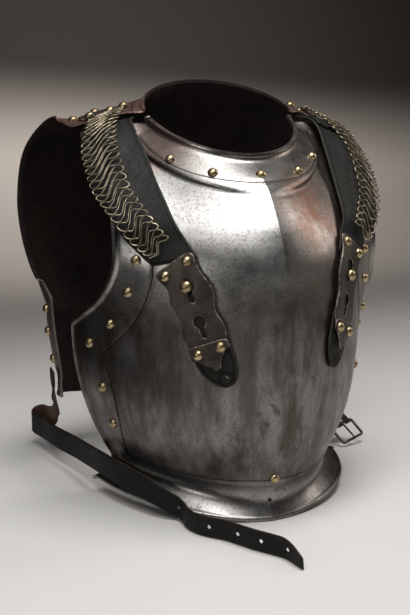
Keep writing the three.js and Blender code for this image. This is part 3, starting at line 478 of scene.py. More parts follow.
def steel_look():
    k = Look("worn_steel_with_painted_shade", 1.0, 0.3)
    cloud = k.noise(7, 5, 0.6, distortion=0.7)
    mottle = k.noise(38, 8, 0.72)
    streak = k.noise(30, 6, 0.7, stretch=(1.6, 1.6, 0.45))
    grain = k.noise(420, 4, 0.65)
    pits = k.ramp(k.noise(210, 5, 0.8), 0.6, 0.72)
    spots = k.ramp(k.noise(30, 6, 0.78, distortion=0.5), 0.58, 0.68)
    height = k.axis(2)
    # low: 1 below about 0.19 m. Painted shade mixed with patina: the lower steel is made browner and much darker,
    # standing in for its dark reflection.
    low = k.ramp(height, 0.265, 0.19)
    right = k.ramp(k.axis(0), -0.025, 0.03)
    brown = k.plus(k.ramp(cloud, 0.5, 0.75), k.times(low, 0.9))
    brown = k.plus(brown, k.times(right, 0.75))
    # The patina and the painted shade fade to 35% at the flange, which stays cleaner.
    brown = k.times(brown, k.ramp(height, 0.03, 0.055, 0.35, 1.0))
    brown = k.times(k.math("MINIMUM", brown, 1.0), k.ramp(streak, 0.32, 0.62, 0.55, 1.0))
    neck = k.ramp(k.attribute("neck_mm"), 8, -2)
    # From clean grey towards brown, and low on the plate towards near-black brown: patina with painted shade.
    colour = k.mix(brown, (0.4, 0.394, 0.383), k.mix(low, (0.2, 0.165, 0.14), (0.074, 0.06, 0.051)))
    colour = k.mix(k.times(neck, 0.45), colour, (0.25, 0.21, 0.19))
    stain = k.times(k.blob((58, -132, 318), 62, 0.3), k.ramp(mottle, 0.38, 0.6, 0.2, 1.0))
    colour = k.mix(k.times(stain, 0.7), colour, (0.3, 0.13, 0.085))
    shoulder = k.times(k.blob((-92, -40, 388), 60, 0.4), k.ramp(mottle, 0.35, 0.6, 0.3, 1.0))
    colour = k.mix(k.times(shoulder, 0.7), colour, (0.25, 0.15, 0.12))
    # Dark patina spots, with more of them low on the plate, which adds to the painted shade there.
    colour = k.mix(k.times(spots, k.ramp(low, 0, 1, 0.22, 0.8)), colour, (0.06, 0.045, 0.038))
    colour = k.mix(k.times(pits, 0.6), colour, (0.06, 0.048, 0.04))
    colour = k.mix(k.ramp(grain, 0.46, 0.66, 0, 0.6), colour, (0.12, 0.105, 0.094))
    rough = k.plus(k.ramp(mottle, 0.3, 0.7, 0.27, 0.38), k.times(brown, 0.1))
    rough = k.plus(rough, k.times(pits, 0.25))
    bump = k.plus(k.times(grain, 0.55), k.times(mottle, 0.5))
    bump = k.math("SUBTRACT", bump, k.times(pits, 0.9))
    colour, bump, seam = border_lines(k, colour, bump, (0.06, 0.045, 0.04), 1.0)
    rough = k.plus(rough, k.times(seam, 0.4))
    return k.finish(colour, rough, bump, 0.3, 0.0003)


def interior_look(name, color_a, color_b):
    k = Look(name, 0.2, 0.7, 0.25)
    cloud = k.noise(16, 6, 0.6)
    mottle = k.noise(90, 6, 0.7)
    colour = k.mix(k.ramp(cloud, 0.35, 0.65), color_a, color_b)
    return k.finish(colour, k.ramp(mottle, 0.3, 0.7, 0.6, 0.85), mottle, 0.3, 0.0004)


def back_look():
    k = Look("dark_steel", 0.9, 0.42)
    cloud = k.noise(12, 6, 0.65, distortion=0.5)
    mottle = k.noise(60, 7, 0.7)
    pits = k.ramp(k.noise(140, 4, 0.7), 0.58, 0.7)
    colour = k.mix(k.ramp(cloud, 0.35, 0.65), (0.24, 0.21, 0.19), (0.11, 0.085, 0.07))
    high = k.ramp(k.axis(2), 0.37, 0.39)
    rust = k.mix(k.ramp(mottle, 0.35, 0.65), (0.32, 0.2, 0.165), (0.14, 0.085, 0.07))
    colour = k.mix(high, colour, rust)
    colour = k.mix(k.times(pits, 0.6), colour, (0.03, 0.02, 0.018))
    rough = k.ramp(mottle, 0.3, 0.7, 0.38, 0.6)
    colour, bump, _ = border_lines(k, colour, mottle, (0.05, 0.035, 0.03), 0.8)
    return k.finish(colour, rough, bump, 0.35, 0.0004)


def brass_look(name, bright, dull):
    k = Look(name, 1.0, 0.3)
    cloud = k.noise(150, 5, 0.6)
    fine = k.noise(800, 4, 0.6)
    colour = k.mix(k.ramp(cloud, 0.35, 0.68), bright, dull)
    colour = k.mix(k.ramp(fine, 0.6, 0.72, 0, 0.6), colour, (0.06, 0.045, 0.03))
    return k.finish(colour, k.ramp(cloud, 0.3, 0.7, 0.27, 0.45), fine, 0.2, 0.0002)


def iron_look():
    k = Look("brown_iron", 0.75, 0.45)
    cloud = k.noise(30, 6, 0.65)
    mottle = k.noise(180, 6, 0.7)
    grain = k.noise(650, 4, 0.65)
    # edge: mm from the plate's edge, roughened with noise.
    edge = k.plus(k.attribute("edge_mm"), k.ramp(k.noise(220, 3), 0.3, 0.7, -0.6, 0.6))
    colour = k.mix(k.ramp(cloud, 0.35, 0.65), (0.088, 0.073, 0.062), (0.036, 0.028, 0.024))
    colour = k.mix(k.ramp(mottle, 0.55, 0.72, 0, 0.6), colour, (0.12, 0.088, 0.066))
    colour = k.mix(k.ramp(grain, 0.55, 0.7, 0, 0.6), colour, (0.04, 0.032, 0.03))
    # Painted highlight: a light line painted along the iron's edges.
    colour = k.mix(k.ramp(edge, 0.7, 0.15, 0, 0.75), colour, (0.36, 0.31, 0.26))
    return k.finish(colour, k.ramp(mottle, 0.3, 0.7, 0.4, 0.6), k.plus(mottle, grain), 0.35, 0.0003)


def leather_look(name, base, worn, inner, line=None, turned=False):
    """line: mm from the edge where a tooled groove runs. turned: the sheet's under side faces out."""
    k = Look(name, 0.0, 0.65, 0.15)
    cloud = k.noise(20, 6, 0.65)
    grain = k.cells(700)
    creases = k.noise(240, 5, 0.7, stretch=(1, 1, 0.4))
    edge = k.plus(k.attribute("edge_mm"), k.ramp(k.noise(120, 4), 0.3, 0.7, -0.5, 0.5))
    colour = k.mix(k.ramp(cloud, 0.35, 0.7), base, tuple(c * 1.55 for c in base))
    colour = k.mix(k.ramp(creases, 0.58, 0.75, 0, 0.45), colour, worn)
    bump = k.plus(k.times(grain, 0.5), k.times(creases, 0.7))
    if line:
        low, high = line
        groove = k.times(k.ramp(edge, low, low + 0.7), k.ramp(edge, high + 0.7, high))
        colour = k.mix(k.times(groove, 0.85), colour, tuple(c * 0.22 for c in base))
        bump = k.math("SUBTRACT", bump, k.times(groove, 1.2))
    colour = k.mix(k.ramp(edge, 1.0, 0.2, 0, 0.75), colour, worn)
    under = k.attribute("under")
    colour = k.mix(k.math("SUBTRACT", 1.0, under) if turned else under, colour, inner)
    return k.finish(colour, k.ramp(creases, 0.3, 0.7, 0.5, 0.7), bump, 0.45, 0.0004)


STEEL = steel_look()
BREAST_INSIDE = interior_look("breast_inside", (0.035, 0.024, 0.019), (0.014, 0.01, 0.008))
BACK_STEEL = back_look()
BACK_INSIDE = interior_look("back_inside", (0.02, 0.011, 0.009), (0.008, 0.0045, 0.004))
BRASS = brass_look("old_brass", (0.5, 0.4, 0.235), (0.26, 0.195, 0.105))
CHAIN_BRASS = brass_look("chain_brass", (0.42, 0.36, 0.26), (0.14, 0.112, 0.075))
IRON = iron_look()
LEATHER = leather_look("black_leather", (0.0115, 0.0115, 0.0103), (0.048, 0.042, 0.034), (0.03, 0.02, 0.015),
                       line=(2.2, 4.6))
BELT = leather_look("belt_leather", (0.0065, 0.006, 0.0055), (0.026, 0.023, 0.02), (0.085, 0.05, 0.033),
                    turned=True)


# ------------------------------------------------------------------ the plates
def spread(n, power):
    """n + 1 values from 0 to 1, closer together near 1."""
    t = np.linspace(0, 1, n + 1)
    return 1 - (1 - t) ** power


def arc(grid, axis):
    step = np.linalg.norm(np.diff(grid, axis=axis), axis=-1)
    zero = np.zeros_like(np.take(step, [0], axis=axis))
    return np.concatenate([zero, np.cumsum(step, axis=axis)], axis=axis)


def smooth_rows(grid, around, reach, rounds):
    """Eases the bend where the rim or the flange leaves the plate."""
    a, b = max(1, around - reach), min(len(grid) - 1, around + reach)
    for _ in range(rounds):
        grid[a:b] = (grid[a - 1:b - 1] + 2 * grid[a:b] + grid[a + 1:b + 1]) / 4


def add_hole(outer, inner, centre, axis, radius, keep):
    """Opens a round hole: the cells inside go, and the ones round it are drawn to its rim."""
    away = outer - centre
    near = np.linalg.norm(away, axis=-1) < 25
    away = away - axis * (away @ axis)[..., None]
    d = np.where(near, np.linalg.norm(away, axis=-1), 1e3)
    keep &= (d[:-1, :-1] + d[1:, :-1] + d[:-1, 1:] + d[1:, 1:]) / 4 > radius
    rim = rim_of(keep) & near
    push = away / np.maximum(d, 1e-6)[..., None] * (radius - d)[..., None]
    outer[rim] += push[rim]
    inner[rim] += push[rim]


def part_sides(grid, middle, step=0.35, reach=6):
    """Moving inwards from the crease would fold the two halves over each other: they meet at X = 0."""
    grid[:, middle, 0] = 0
    for j in range(1, reach + 1):
        grid[:, middle + j, 0] = np.maximum(grid[:, middle + j, 0], step * j)
        grid[:, middle - j, 0] = np.minimum(grid[:, middle - j, 0], -step * j)


def make_plate(name, plate, outside, inside, counts, centre_columns=(), hole=None):
    """One plate with its raised borders and rolled edges. hole: mm up from the lower edge, and its radius."""
    n_across, n_lip, n_up, n_waist, n_neck = counts
    across = spread(n_across, 1.25)
    across = np.unique(np.concatenate([across[across > max(centre_columns, default=-1)], [0], centre_columns]))
    lips = np.linspace(0, 1, n_lip + 1)[1:]
    ups = np.linspace(0, TOP, n_up + 1)
    waists = np.linspace(0, 1, n_waist + 1)[1:]
    necks = np.linspace(0, 1, n_neck + 1)[1:]
    grid = plate_grid(plate, across, lips, ups, waists, necks)
    smooth_rows(grid, n_waist, 6, 8)
    smooth_rows(grid, n_waist + n_up, 9, 40)
    middle = n_lip + len(across) - 1
    part_sides(grid, middle)
    normals = grid_normals(grid, (0, plate["front"], 0))
    normals[:, middle, 0] = 0
    normals = unit(normals)
    along = arc(grid, 1)
    up = arc(grid, 0)
    v = np.concatenate([np.zeros(n_waist), ups, np.full(n_neck, TOP)])
    line = np.interp(v, plate["border"][0], plate["border"][1])
    side = np.empty(grid.shape[:2])
    for i in range(len(grid)):
        right = np.interp(line[i], across, along[i, middle:middle + len(across)])
        left = np.interp(line[i], across, (along[i, middle] - along[i, n_lip:middle + 1])[::-1])
        side[i, middle:] = along[i, middle:] - right
        side[i, :middle + 1] = along[i, middle] - along[i, :middle + 1] - left
    from_waist = up - up[[n_waist]]
    from_neck = up[[n_waist + n_up]] - up
    from_rim = up[-1:] - up
    raised = np.maximum(smooth(side, 0, 2.5) * smooth(from_waist, -1, 1), smooth(-from_neck, 0, 2.5))
    roll = np.where(from_waist < 0, np.exp(-((up - 2.2) / 1.7) ** 2) * plate["roll"], 0)
    rim = np.where(from_neck < 0, np.exp(-((from_rim - 1.5) / 1.3) ** 2) * 0.9, 0)
    outer = grid + normals * (RAISE * raised + roll + rim)[..., None]
    inner = grid - normals * plate["wall"]
    for sheet in (outer, inner):
        sheet[..., 2] = np.maximum(sheet[..., 2], 0.0)
    keep = np.ones((grid.shape[0] - 1, grid.shape[1] - 1), bool)
    if hole:
        row = int(np.abs(up[:, middle] - hole[0]).argmin())
        axis = unit(np.cross(outer[row, middle + 6] - outer[row, middle - 6],
                             outer[row + 3, middle] - outer[row - 3, middle]))
        add_hole(outer, inner, outer[row, middle].copy(), axis, hole[1], keep)
    verts, faces, kinds = wall(outer, inner, keep)
    piece = new_mesh(name, verts, faces, [outside, inside], kinds)
    sharpen(piece, 42)
    twice = lambda a: np.concatenate([a.ravel(), a.ravel()])
    put_attribute(piece, "side_mm", twice(side))
    put_attribute(piece, "neck_mm", twice(from_neck))
    put_attribute(piece, "waist_mm", twice(from_waist))
    if plate["crease"]:
        flag = piece.data.attributes.get("sharp_edge") or piece.data.attributes.new("sharp_edge", "BOOLEAN", "EDGE")
        for e in piece.data.edges:
            (i, a), (j, b) = (divmod(v, grid.shape[1]) for v in e.vertices)
            if a == b == middle and n_waist < min(i, j) and max(i, j) <= n_waist + n_up:
                flag.data[e.index].value = True
    return piece


# border: where the raised border begins across the plate, by row. roll: how far the lower edge swells.
RAISE = 0.7
BREAST.update(crease=True, roll=1.2, border=(
    [0, 0.3, 1.4, 2.2, 2.8, 3.4, 4, 5, 6.6, 8, 10, 12],
    [0.835, 0.82, 0.77, 0.75, 0.75, 0.76, 0.78, 0.775, 0.79, 0.82, 0.86, 0.9]))
BACK.update(crease=False, roll=0.8, border=([0, 12], [0.88, 0.9]))
breast = make_plate("breastplate_steel", BREAST, STEEL, BREAST_INSIDE, (62, 5, 130, 44, 14),
                    centre_columns=(0.0035, 0.007, 0.0105, 0.014, 0.0175, 0.021, 0.026, 0.032), hole=(21.5, 2.3))
dress(breast, "steel", "breastplate")
back = make_plate("backplate_steel", BACK, BACK_STEEL, BACK_INSIDE, (46, 4, 96, 20, 10))
dress(back, "dark_steel", "backplate")


# ------------------------------------------------------------------ laying things on the plates
def samples(plate):
    across = np.linspace(0, 1, 27)
    grid = plate_grid(plate, across, np.array([0.5, 1]), np.linspace(0, TOP, 73),
                      np.array([0.25, 0.5, 0.75, 1]), np.array([0.2, 0.4, 0.6, 0.8, 1]))
    n = grid_normals(grid, (0, plate["front"], 0))
    return grid.reshape(-1, 3), n.reshape(-1, 3)


ON_BREAST = samples(BREAST)
ON_BACK = samples(BACK)


def nearest(on, q):
    q = np.asarray(q, float)
    flat = q.reshape(-1, 3)
    d = ((flat[:, None] - on[0][None]) ** 2).sum(-1)
    i = d.argmin(1)
    return on[0][i].reshape(q.shape), on[1][i].reshape(q.shape)


def lay(on, q, height):
    point, n = nearest(on, q)
    above = ((q - point) * n).sum(-1)
    return q + n * (height - above)[..., None]


def clearance(points, q, direction, height, reach=9.0, near=25.0):
    lift = np.zeros(q.shape[:-1])
    for index in np.ndindex(lift.shape):
        d = points - q[index]
        ahead = d @ direction[index]
        off = (d * d).sum(1) - ahead * ahead
        ok = (np.abs(ahead) <= near) & (off < reach * reach)
        if ok.any():
            lift[index] = max(0.0, (ahead[ok] + height).max())
    return lift


def ease(lifts, rounds=3):
    for _ in range(rounds):
        last = np.pad(lifts, 1, constant_values=np.nan)
        around = np.stack([last[:-2, 1:-1], last[2:, 1:-1], last[1:-1, :-2], last[1:-1, 2:]])
        lifts = np.maximum(lifts, np.nanmean(around, axis=0))
    return lifts


class Patch:
    """A smooth sheet through a grid of points: rows run along s, columns across t."""

    def __init__(self, grid, hint):
        self.grid = grid
        self.hint = np.asarray(hint, float)
        mid = grid[:, grid.shape[1] // 2]
        self.length = np.concatenate([[0], np.cumsum(np.linalg.norm(np.diff(mid, axis=0), axis=1))])

    @staticmethod
    def _line(values, t):
        n = len(values)
        t = np.clip(t, 0, n - 1)
        i = np.clip(np.floor(t).astype(int), 0, n - 2)
        s = (t - i)[..., None]
        get = lambda k: values[np.clip(k, 0, n - 1)]
        a, b, c, d = get(i - 1), get(i), get(i + 1), get(i + 2)
        a = np.where((i == 0)[..., None], 2 * b - c, a)
        d = np.where((i == n - 2)[..., None], 2 * c - b, d)
        return 0.5 * (2 * b + (c - a) * s + (2 * a - 5 * b + 4 * c - d) * s ** 2 + (3 * b - a - 3 * c + d) * s ** 3)

    def at(self, u, w):
        """Points for row parameters u (0..1) and column parameters w (0..1)."""
        rows, cols = self.grid.shape[:2]
        u, w = np.broadcast_arrays(np.asarray(u, float), np.asarray(w, float))
        shape = u.shape
        u, w = u.ravel(), w.ravel()
        columns = np.stack([self._line(self.grid[:, j], u * (rows - 1)) for j in range(cols)], 0)
        out = np.empty((len(u), 3))
        for i in range(len(u)):
            out[i] = self._line(columns[:, i], np.array([w[i] * (cols - 1)]))[0]
        return out.reshape(*shape, 3)

    def frame(self, u, w):
        """Points and their normals."""
        e = 0.01
        u, w = np.broadcast_arrays(np.asarray(u, float), np.asarray(w, float))
        along = self.at(np.minimum(u + e, 1), w) - self.at(np.maximum(u - e, 0), w)
        across = self.at(u, np.minimum(w + e, 1)) - self.at(u, np.maximum(w - e, 0))
        n = unit(np.cross(along, across))
        flip = (n * self.hint).sum(-1, keepdims=True) < 0
        return self.at(u, w), np.where(flip, -n, n)


def sheet_piece(name, patch, length, step, half, thickness, holes, material, round_edge=1.2, lift=0.0):
    """A plate or strap of even thickness with real holes. patch(S, T): points and normals.
    half(s): its half width; holes: a signed distance at (s, t) in mm, below 0 inside a hole."""
    n_s = max(2, int(round(length / step)))
    widest = max(half(s) for s in np.linspace(0, length, 40))
    n_t = max(4, int(round(2 * widest / step / 2)) * 2)
    s = np.linspace(0, length, n_s + 1)
    t = np.linspace(-1, 1, n_t + 1)
    t = np.sign(t) * (1 - (1 - np.abs(t)) ** 1.15)
    H = np.array([half(x) for x in s])
    S = np.repeat(s[:, None], n_t + 1, 1)
    T = H[:, None] * t[None]
    cs = (S[:-1, :-1] + S[1:, 1:]) / 2
    ct = (T[:-1, :-1] + T[1:, 1:]) / 2
    keep = np.ones((n_s, n_t), bool)
    if holes is not None:
        keep = holes(cs, ct) > 0
        rim = rim_of(keep)
        for _ in range(4):
            e = 0.05
            d = holes(S, T)
            gs = (holes(S + e, T) - holes(S - e, T)) / (2 * e)
            gt = (holes(S, T + e) - holes(S, T - e)) / (2 * e)
            g2 = np.maximum(gs * gs + gt * gt, 1e-6)
            S = np.where(rim, S - d * gs / g2, S)
            T = np.where(rim, T - d * gt / g2, T)
    widths = np.array([half(x) for x in S.ravel()]).reshape(S.shape)
    edge = np.minimum(widths - np.abs(T), np.minimum(S, length - S))
    edge = np.maximum(edge, 0)
    if holes is not None:
        edge = np.minimum(edge, np.maximum(holes(S, T), 0))
    P, N = patch(S, T)
    rounding = np.sqrt(np.clip(1 - (1 - np.clip(edge / round_edge, 0, 1)) ** 2, 0, 1)) if round_edge else 1
    drop = 0.35 * thickness * (1 - rounding)
    low = P + N * (lift + drop)[..., None]
    high = P + N * (lift + thickness - drop)[..., None]
    verts, faces, _ = wall(high, low, keep)
    used = np.unique(np.concatenate(faces))
    renumber = np.full(len(verts), -1)
    renumber[used] = np.arange(len(used))
    piece = new_mesh(name, verts[used], [renumber[list(f)] for f in faces], [material])
    # edge_mm: distance to the nearest edge or hole; leather wears there, and iron takes a painted highlight.
    put_attribute(piece, "edge_mm", np.tile(edge.ravel(), 2)[used])
    put_attribute(piece, "under", np.repeat([0, 1], S.size)[used])
    sharpen(piece, 50)
    return piece


def patch_mapper(patch, length, half_width_at):
    """Turns (s, t) in mm on a strip into points of a patch whose columns span the full width."""
    def mapper(S, T):
        u = np.clip(S / length, 0, 1)
        w = np.clip(0.5 + 0.5 * T / half_width_at(S), 0, 1)
        return patch.frame(u, w)
    return mapper


# ------------------------------------------------------------------ shoulder straps
LEATHER_ROUTE = np.array([
    [90, 27, 409, 134, 56, 394],
    [95, 12, 402, 143, 36, 386],
    [100, -5, 395, 149, 14, 382],
    [101, -24, 383, 152, -4, 368],
    [98, -44, 364, 153, -21, 351],
    [96, -66, 341, 151, -40, 331],
    [93, -88, 320, 147, -60, 312],
    [90, -107, 301, 140, -82, 293],
    [83, -123, 283, 128, -96, 274],
    [78, -131, 271, 115, -106, 260],
], float)
CHAIN_ROUTE = np.array([
    [103, 11, 408, 133, 33, 399],
    [110, 1, 400, 140, 20, 393],
    [118, -13, 386, 149, 2, 383],
    [121, -30, 368, 155, -13, 362],
    [121, -49, 346, 155, -31, 341],
    [117, -70, 324, 150, -48, 320],
    [108, -88, 306, 141, -67, 301],
    [98, -106, 289, 128, -88, 280],
    [89, -118, 279, 114, -102, 267],
], float)
FORWARD_UP = np.array([0, -0.7, 0.7])
TUCK_ROWS, REST_ROWS = 1.4, 6.8
LEATHER_WALL, IRON_WALL, GAP = 2.6, 1.6, 0.35
LEATHER_HEIGHT = 1.2
PLATE_HEIGHT = LEATHER_HEIGHT + LEATHER_WALL + 2 * GAP
CLIP_HEIGHT = PLATE_HEIGHT + IRON_WALL + GAP
TUCK_DEPTH = BACK["wall"] + GAP + 1.2 + LEATHER_WALL
ANCHOR_HEIGHT, ANCHOR_WALL = 1.1, 2.2
STRAPS = [
    dict(name="right", sign=-1, stud=26, chain_end=8.0,
         axis=[[95, 264], [83, 240], [74, 208], [64, 176], [49, 146], [38, 125]]),
    dict(name="left", sign=1, stud=36, chain_end=7.6,
         axis=[[98, 275], [87, 250], [80, 220], [71, 188], [58, 153], [47, 129]]),
]


def route_rows(route, sign, end, steps, across):
    t = np.linspace(0, end, steps + 1)
    values = np.stack([hermite(np.arange(len(route)), route[:, c], t) for c in range(6)], 1)
    inner, outer = values[:, :3], values[:, 3:]
    w = np.linspace(0, 1, across + 1)[None, :, None]
    grid = inner[:, None] * (1 - w) + outer[:, None] * w
    grid[..., 0] *= sign
    return t, grid


def leather_rows(strap):
    t, grid = route_rows(LEATHER_ROUTE, strap["sign"], 9, 14, 4)
    tucked = t < TUCK_ROWS
    grid[tucked] = lay(ON_BACK, grid[tucked], -TUCK_DEPTH)
    n = grid_normals(grid, FORWARD_UP)
    lifts = clearance(ON_BREAST[0], grid, n, LEATHER_HEIGHT)
    lifts[tucked] = 0
    grid = grid + n * ease(lifts)[..., None]
    rest = smooth(t, REST_ROWS, REST_ROWS + 1)[:, None, None]
    return grid * (1 - rest) + lay(ON_BREAST, grid, LEATHER_HEIGHT) * rest


def denser(grid):
    for axis in (0, 1):
        a = np.take(grid, range(grid.shape[axis] - 1), axis)
        b = np.take(grid, range(1, grid.shape[axis]), axis)
        size = list(grid.shape)
        size[axis] = 2 * grid.shape[axis] - 1
        out = np.empty(size)
        even = [slice(None)] * 3
        odd = [slice(None)] * 3
        even[axis] = slice(0, None, 2)
        odd[axis] = slice(1, None, 2)
        out[tuple(even)] = grid
        out[tuple(odd)] = (a + b) / 2
        grid = out
    return grid


def chain_rows(strap, leather):
    t, grid = route_rows(CHAIN_ROUTE, strap["sign"], strap["chain_end"], 14, 4)
    n = grid_normals(grid, FORWARD_UP)
    under = denser(denser(leather)).reshape(-1, 3)
    lifts = clearance(ON_BREAST[0], grid, n, LEATHER_HEIGHT + LEATHER_WALL + 2 * GAP)
    lifts = np.maximum(lifts, clearance(under, grid, n, LEATHER_WALL + 2 * GAP))
    lifts = np.maximum(lifts, clearance(ON_BACK[0], grid, n, 1.0))
    return grid + n * ease(lifts)[..., None]


def chain_piece(strap, rows):
    """A flat chain: each link is a long closed loop lying across the band. Its round ends
    make the two edges, a steep slanting middle joins them, and it hooks its neighbours."""
    patch = Patch(rows, FORWARD_UP)
    length = patch.length[-1]
    pitch, slant, around, sides, wire = 7.9, 10.8, 56, 6, 0.7
    theta = np.linspace(0, 2 * math.pi, around, endpoint=False)
    links = []
    for i in range(int((length - 8) / pitch) + 1):
        centre = 4 + i * pitch
        loose = 0.25 + 0.9 * float(smooth(centre / length, 0.72, 0.95))
        shift, stretch, turn = rng.normal(0, 0.5, 3) * loose
        x = np.sign(np.cos(theta)) * np.abs(np.cos(theta)) ** 0.8
        gap = 1.3 + 4.2 * smooth(np.abs(x), 0.3, 0.8) * np.sqrt(np.clip(1.02 - x * x, 0, 1)) ** 0.5
        v = -slant * np.tanh(x * (2.5 + turn * 0.4)) + gap * np.sign(np.sin(theta)) * np.abs(np.sin(theta)) ** 0.55
        v = v * (1 + 0.08 * stretch) + shift
        lift = 2.0 + 0.95 * np.sin(theta) * (0.35 + np.abs(x)) + 0.4 * np.cos(3 * theta + i)
        s = np.clip(centre + v, 0.8, length - 0.8)
        w = np.clip(0.5 - 0.5 * x * (0.97 + 0.015 * turn), 0, 1)
        P, N = patch.frame(s / length, w)
        P = P + N * (lift + 0.3)[..., None]
        tangent = unit(np.roll(P, -1, 0) - np.roll(P, 1, 0))
        side = unit(np.cross(tangent, N))
        links.append(rings_round(P, side, unit(np.cross(side, tangent)), np.full(around, wire), sides))
    piece = skins_piece("chain_links_" + strap["name"], links, CHAIN_BRASS, closed=True)
    return dress(piece, "brass", "chain_" + strap["name"])


def axis_lengths(strap):
    a = np.array(strap["axis"], float)
    return a, np.concatenate([[0], np.cumsum(np.hypot(*np.diff(a, axis=0).T) * 1.05)])


def axis_place(strap, d, height):
    a, lengths = axis_lengths(strap)
    d = np.asarray(d, float)
    x = strap["sign"] * hermite(lengths, a[:, 0], d)
    z = hermite(lengths, a[:, 1], d)
    q = np.stack([x, np.full_like(x, -150), z], -1)
    for _ in range(4):
        q = np.stack([x, lay(ON_BREAST, q, 0)[..., 1], z], -1)
    return lay(ON_BREAST, q, height)


def axis_frame(strap, s, height):
    s = np.asarray(s, float)
    centre = axis_place(strap, s, height)
    down = unit(axis_place(strap, s + 3, height) - axis_place(strap, s - 3, height))
    n = nearest(ON_BREAST, centre)[1]
    return centre, unit(np.cross(down, n)), down, n


def laid_patch(strap, start, length, half, height, rows, cols=4):
    """The control points of a strip laid on the breast, its columns spanning +-half."""
    s = start + np.linspace(0, length, rows + 1)
    centre, side, _, _ = axis_frame(strap, s, height)
    w = np.linspace(-half, half, cols + 1)
    grid = centre[:, None] + side[:, None] * w[None, :, None]
    grid = lay(ON_BREAST, grid, height)
    soft = grid.copy()
    soft[1:-1] = (grid[:-2] + 2 * grid[1:-1] + grid[2:]) / 4
    return Patch(soft, (0, -1, 0))


KEYHOLES, SLOT_LENGTH, KEYHOLE_RADIUS, KEYHOLE_SLOT = (26, 62), 14, 6.4, 5.4
KEY_LENGTH, CLIP_START, CLIP_LENGTH, TIP_START, TIP_LENGTH, STRIP_HALF = 92, 84, 28, 12, 120, 23
RIVET_RADIUS, RIVET_HEIGHT, RIVET_SUNK = 5.3, 4.4, 0.5


def rounded(s, length, radius):
    """How much a strip's half width loses at its rounded ends."""
    t = max(0.0, 1 - min(s, length - s) / radius)
    return radius * (1 - math.sqrt(max(0.0, 1 - t * t)))


def key_half(s):
    return 20.6 + 1.7 * math.cos(2 * math.pi * s / 37) - rounded(s, KEY_LENGTH, 7)


def keyholes(S, T):
    d = np.full(np.shape(S), 1e3)
    for k in KEYHOLES:
        d = np.minimum(d, np.hypot(S - k, T) - KEYHOLE_RADIUS)
        run = np.clip(S, k, k + SLOT_LENGTH)
        d = np.minimum(d, np.hypot(S - run, T) - KEYHOLE_SLOT / 2)
    return d


def dome(foot, n, radius, height, sides=24, rings=7):
    n = unit(np.asarray(n, float))
    a, b = square_to(n, (1, 0, 0) if abs(n[0]) < 0.8 else (0, 1, 0))
    angle = np.radians(np.linspace(4, 88, rings))
    radii = np.concatenate([[radius * 0.99], radius * np.cos(angle)])
    heights = np.concatenate([[-RIVET_SUNK], height * np.sin(angle)])
    return rings_round(foot + n * heights[:, None], a, b, radii, sides)


def domes_piece(name, spots):
    domes = []
    for spot, n in spots:
        radius = RIVET_RADIUS * (1 + rng.normal(0, 0.01))
        domes.append(dome(spot, n, radius, RIVET_HEIGHT * (1 + rng.normal(0, 0.03))))
    return skins_piece(name, domes, BRASS, sharp=50)


def on_axis(strap, s, t, height):
    centre, side, _, _ = axis_frame(strap, s, height)
    q = lay(ON_BREAST, centre + side * t, height)
    return q, nearest(ON_BREAST, q)[1]


def on_shoulder(strap, x, y, height):
    q = np.array([strap["sign"] * x, y, 400.0])
    for _ in range(5):
        q = np.array([strap["sign"] * x, y, lay(ON_BACK, q, 0)[2]])
    q = lay(ON_BACK, q, height)
    return q, nearest(ON_BACK, q)[1]


def torn_flap(leather, size, half_width):
    """The upper layer of leather on the left shoulder, which ends in a torn, lifting edge."""
    start, length, half = 30.0, 52.0, 15.0

    def mapper(S, T):
        s = start + S
        w = np.clip(0.32 + 0.5 * T / half_width(s), 0.005, 0.995)
        P, N = leather.frame(np.clip(s / size, 0, 1), w)
        return P + N * (2.2 * smooth(S, 26, 50))[..., None], N

    torn = lambda S, T: 44 + 0.3 * T + 2.2 * np.sin(0.55 * T) + 1.1 * np.sin(1.7 * T + 1) - S
    piece = sheet_piece("torn_leather_left", mapper, length, 1.6, lambda s: half, 1.7, torn, LEATHER, 1.0,
                        LEATHER_WALL + 0.3)
    dress(piece, "leather")


def strip(grid, hint):
    """A patch through a grid, its length, and its half width at a place along it."""
    patch = Patch(grid, hint)
    size = patch.length[-1]
    widths = np.linalg.norm(grid[:, -1] - grid[:, 0], axis=1) / 2
    at = np.linspace(0, size, len(widths))
    return patch, size, lambda S: np.interp(S, at, widths)


def laid_piece(strap, name, start, length, height, rows, *sheet):
    """A sheet laid on the breastplate along the strap's line; sheet: sheet_piece's other values."""
    patch = laid_patch(strap, start, length, STRIP_HALF, height, rows)
    mapper = patch_mapper(patch, length, lambda S: STRIP_HALF)
    return sheet_piece(name + "_" + strap["name"], mapper, length, *sheet)


def clip_half(s):
    t = max(0.0, s / CLIP_LENGTH - 0.4) / 0.6
    return 21 + (2.4 - 21) * t ** 0.6 - rounded(min(s, CLIP_LENGTH / 2), CLIP_LENGTH, 5)


def tip_half(s):
    taper = 54
    t = max(0.0, (s - (TIP_LENGTH - taper)) / taper - 0.35) / 0.65
    end = 3.5 + (20.3 - 3.5) * max(0.0, 1 - t * t) ** 0.7
    return min(end, 17 + 3.3 * float(smooth(s, TIP_LENGTH - 60, TIP_LENGTH - 50)))


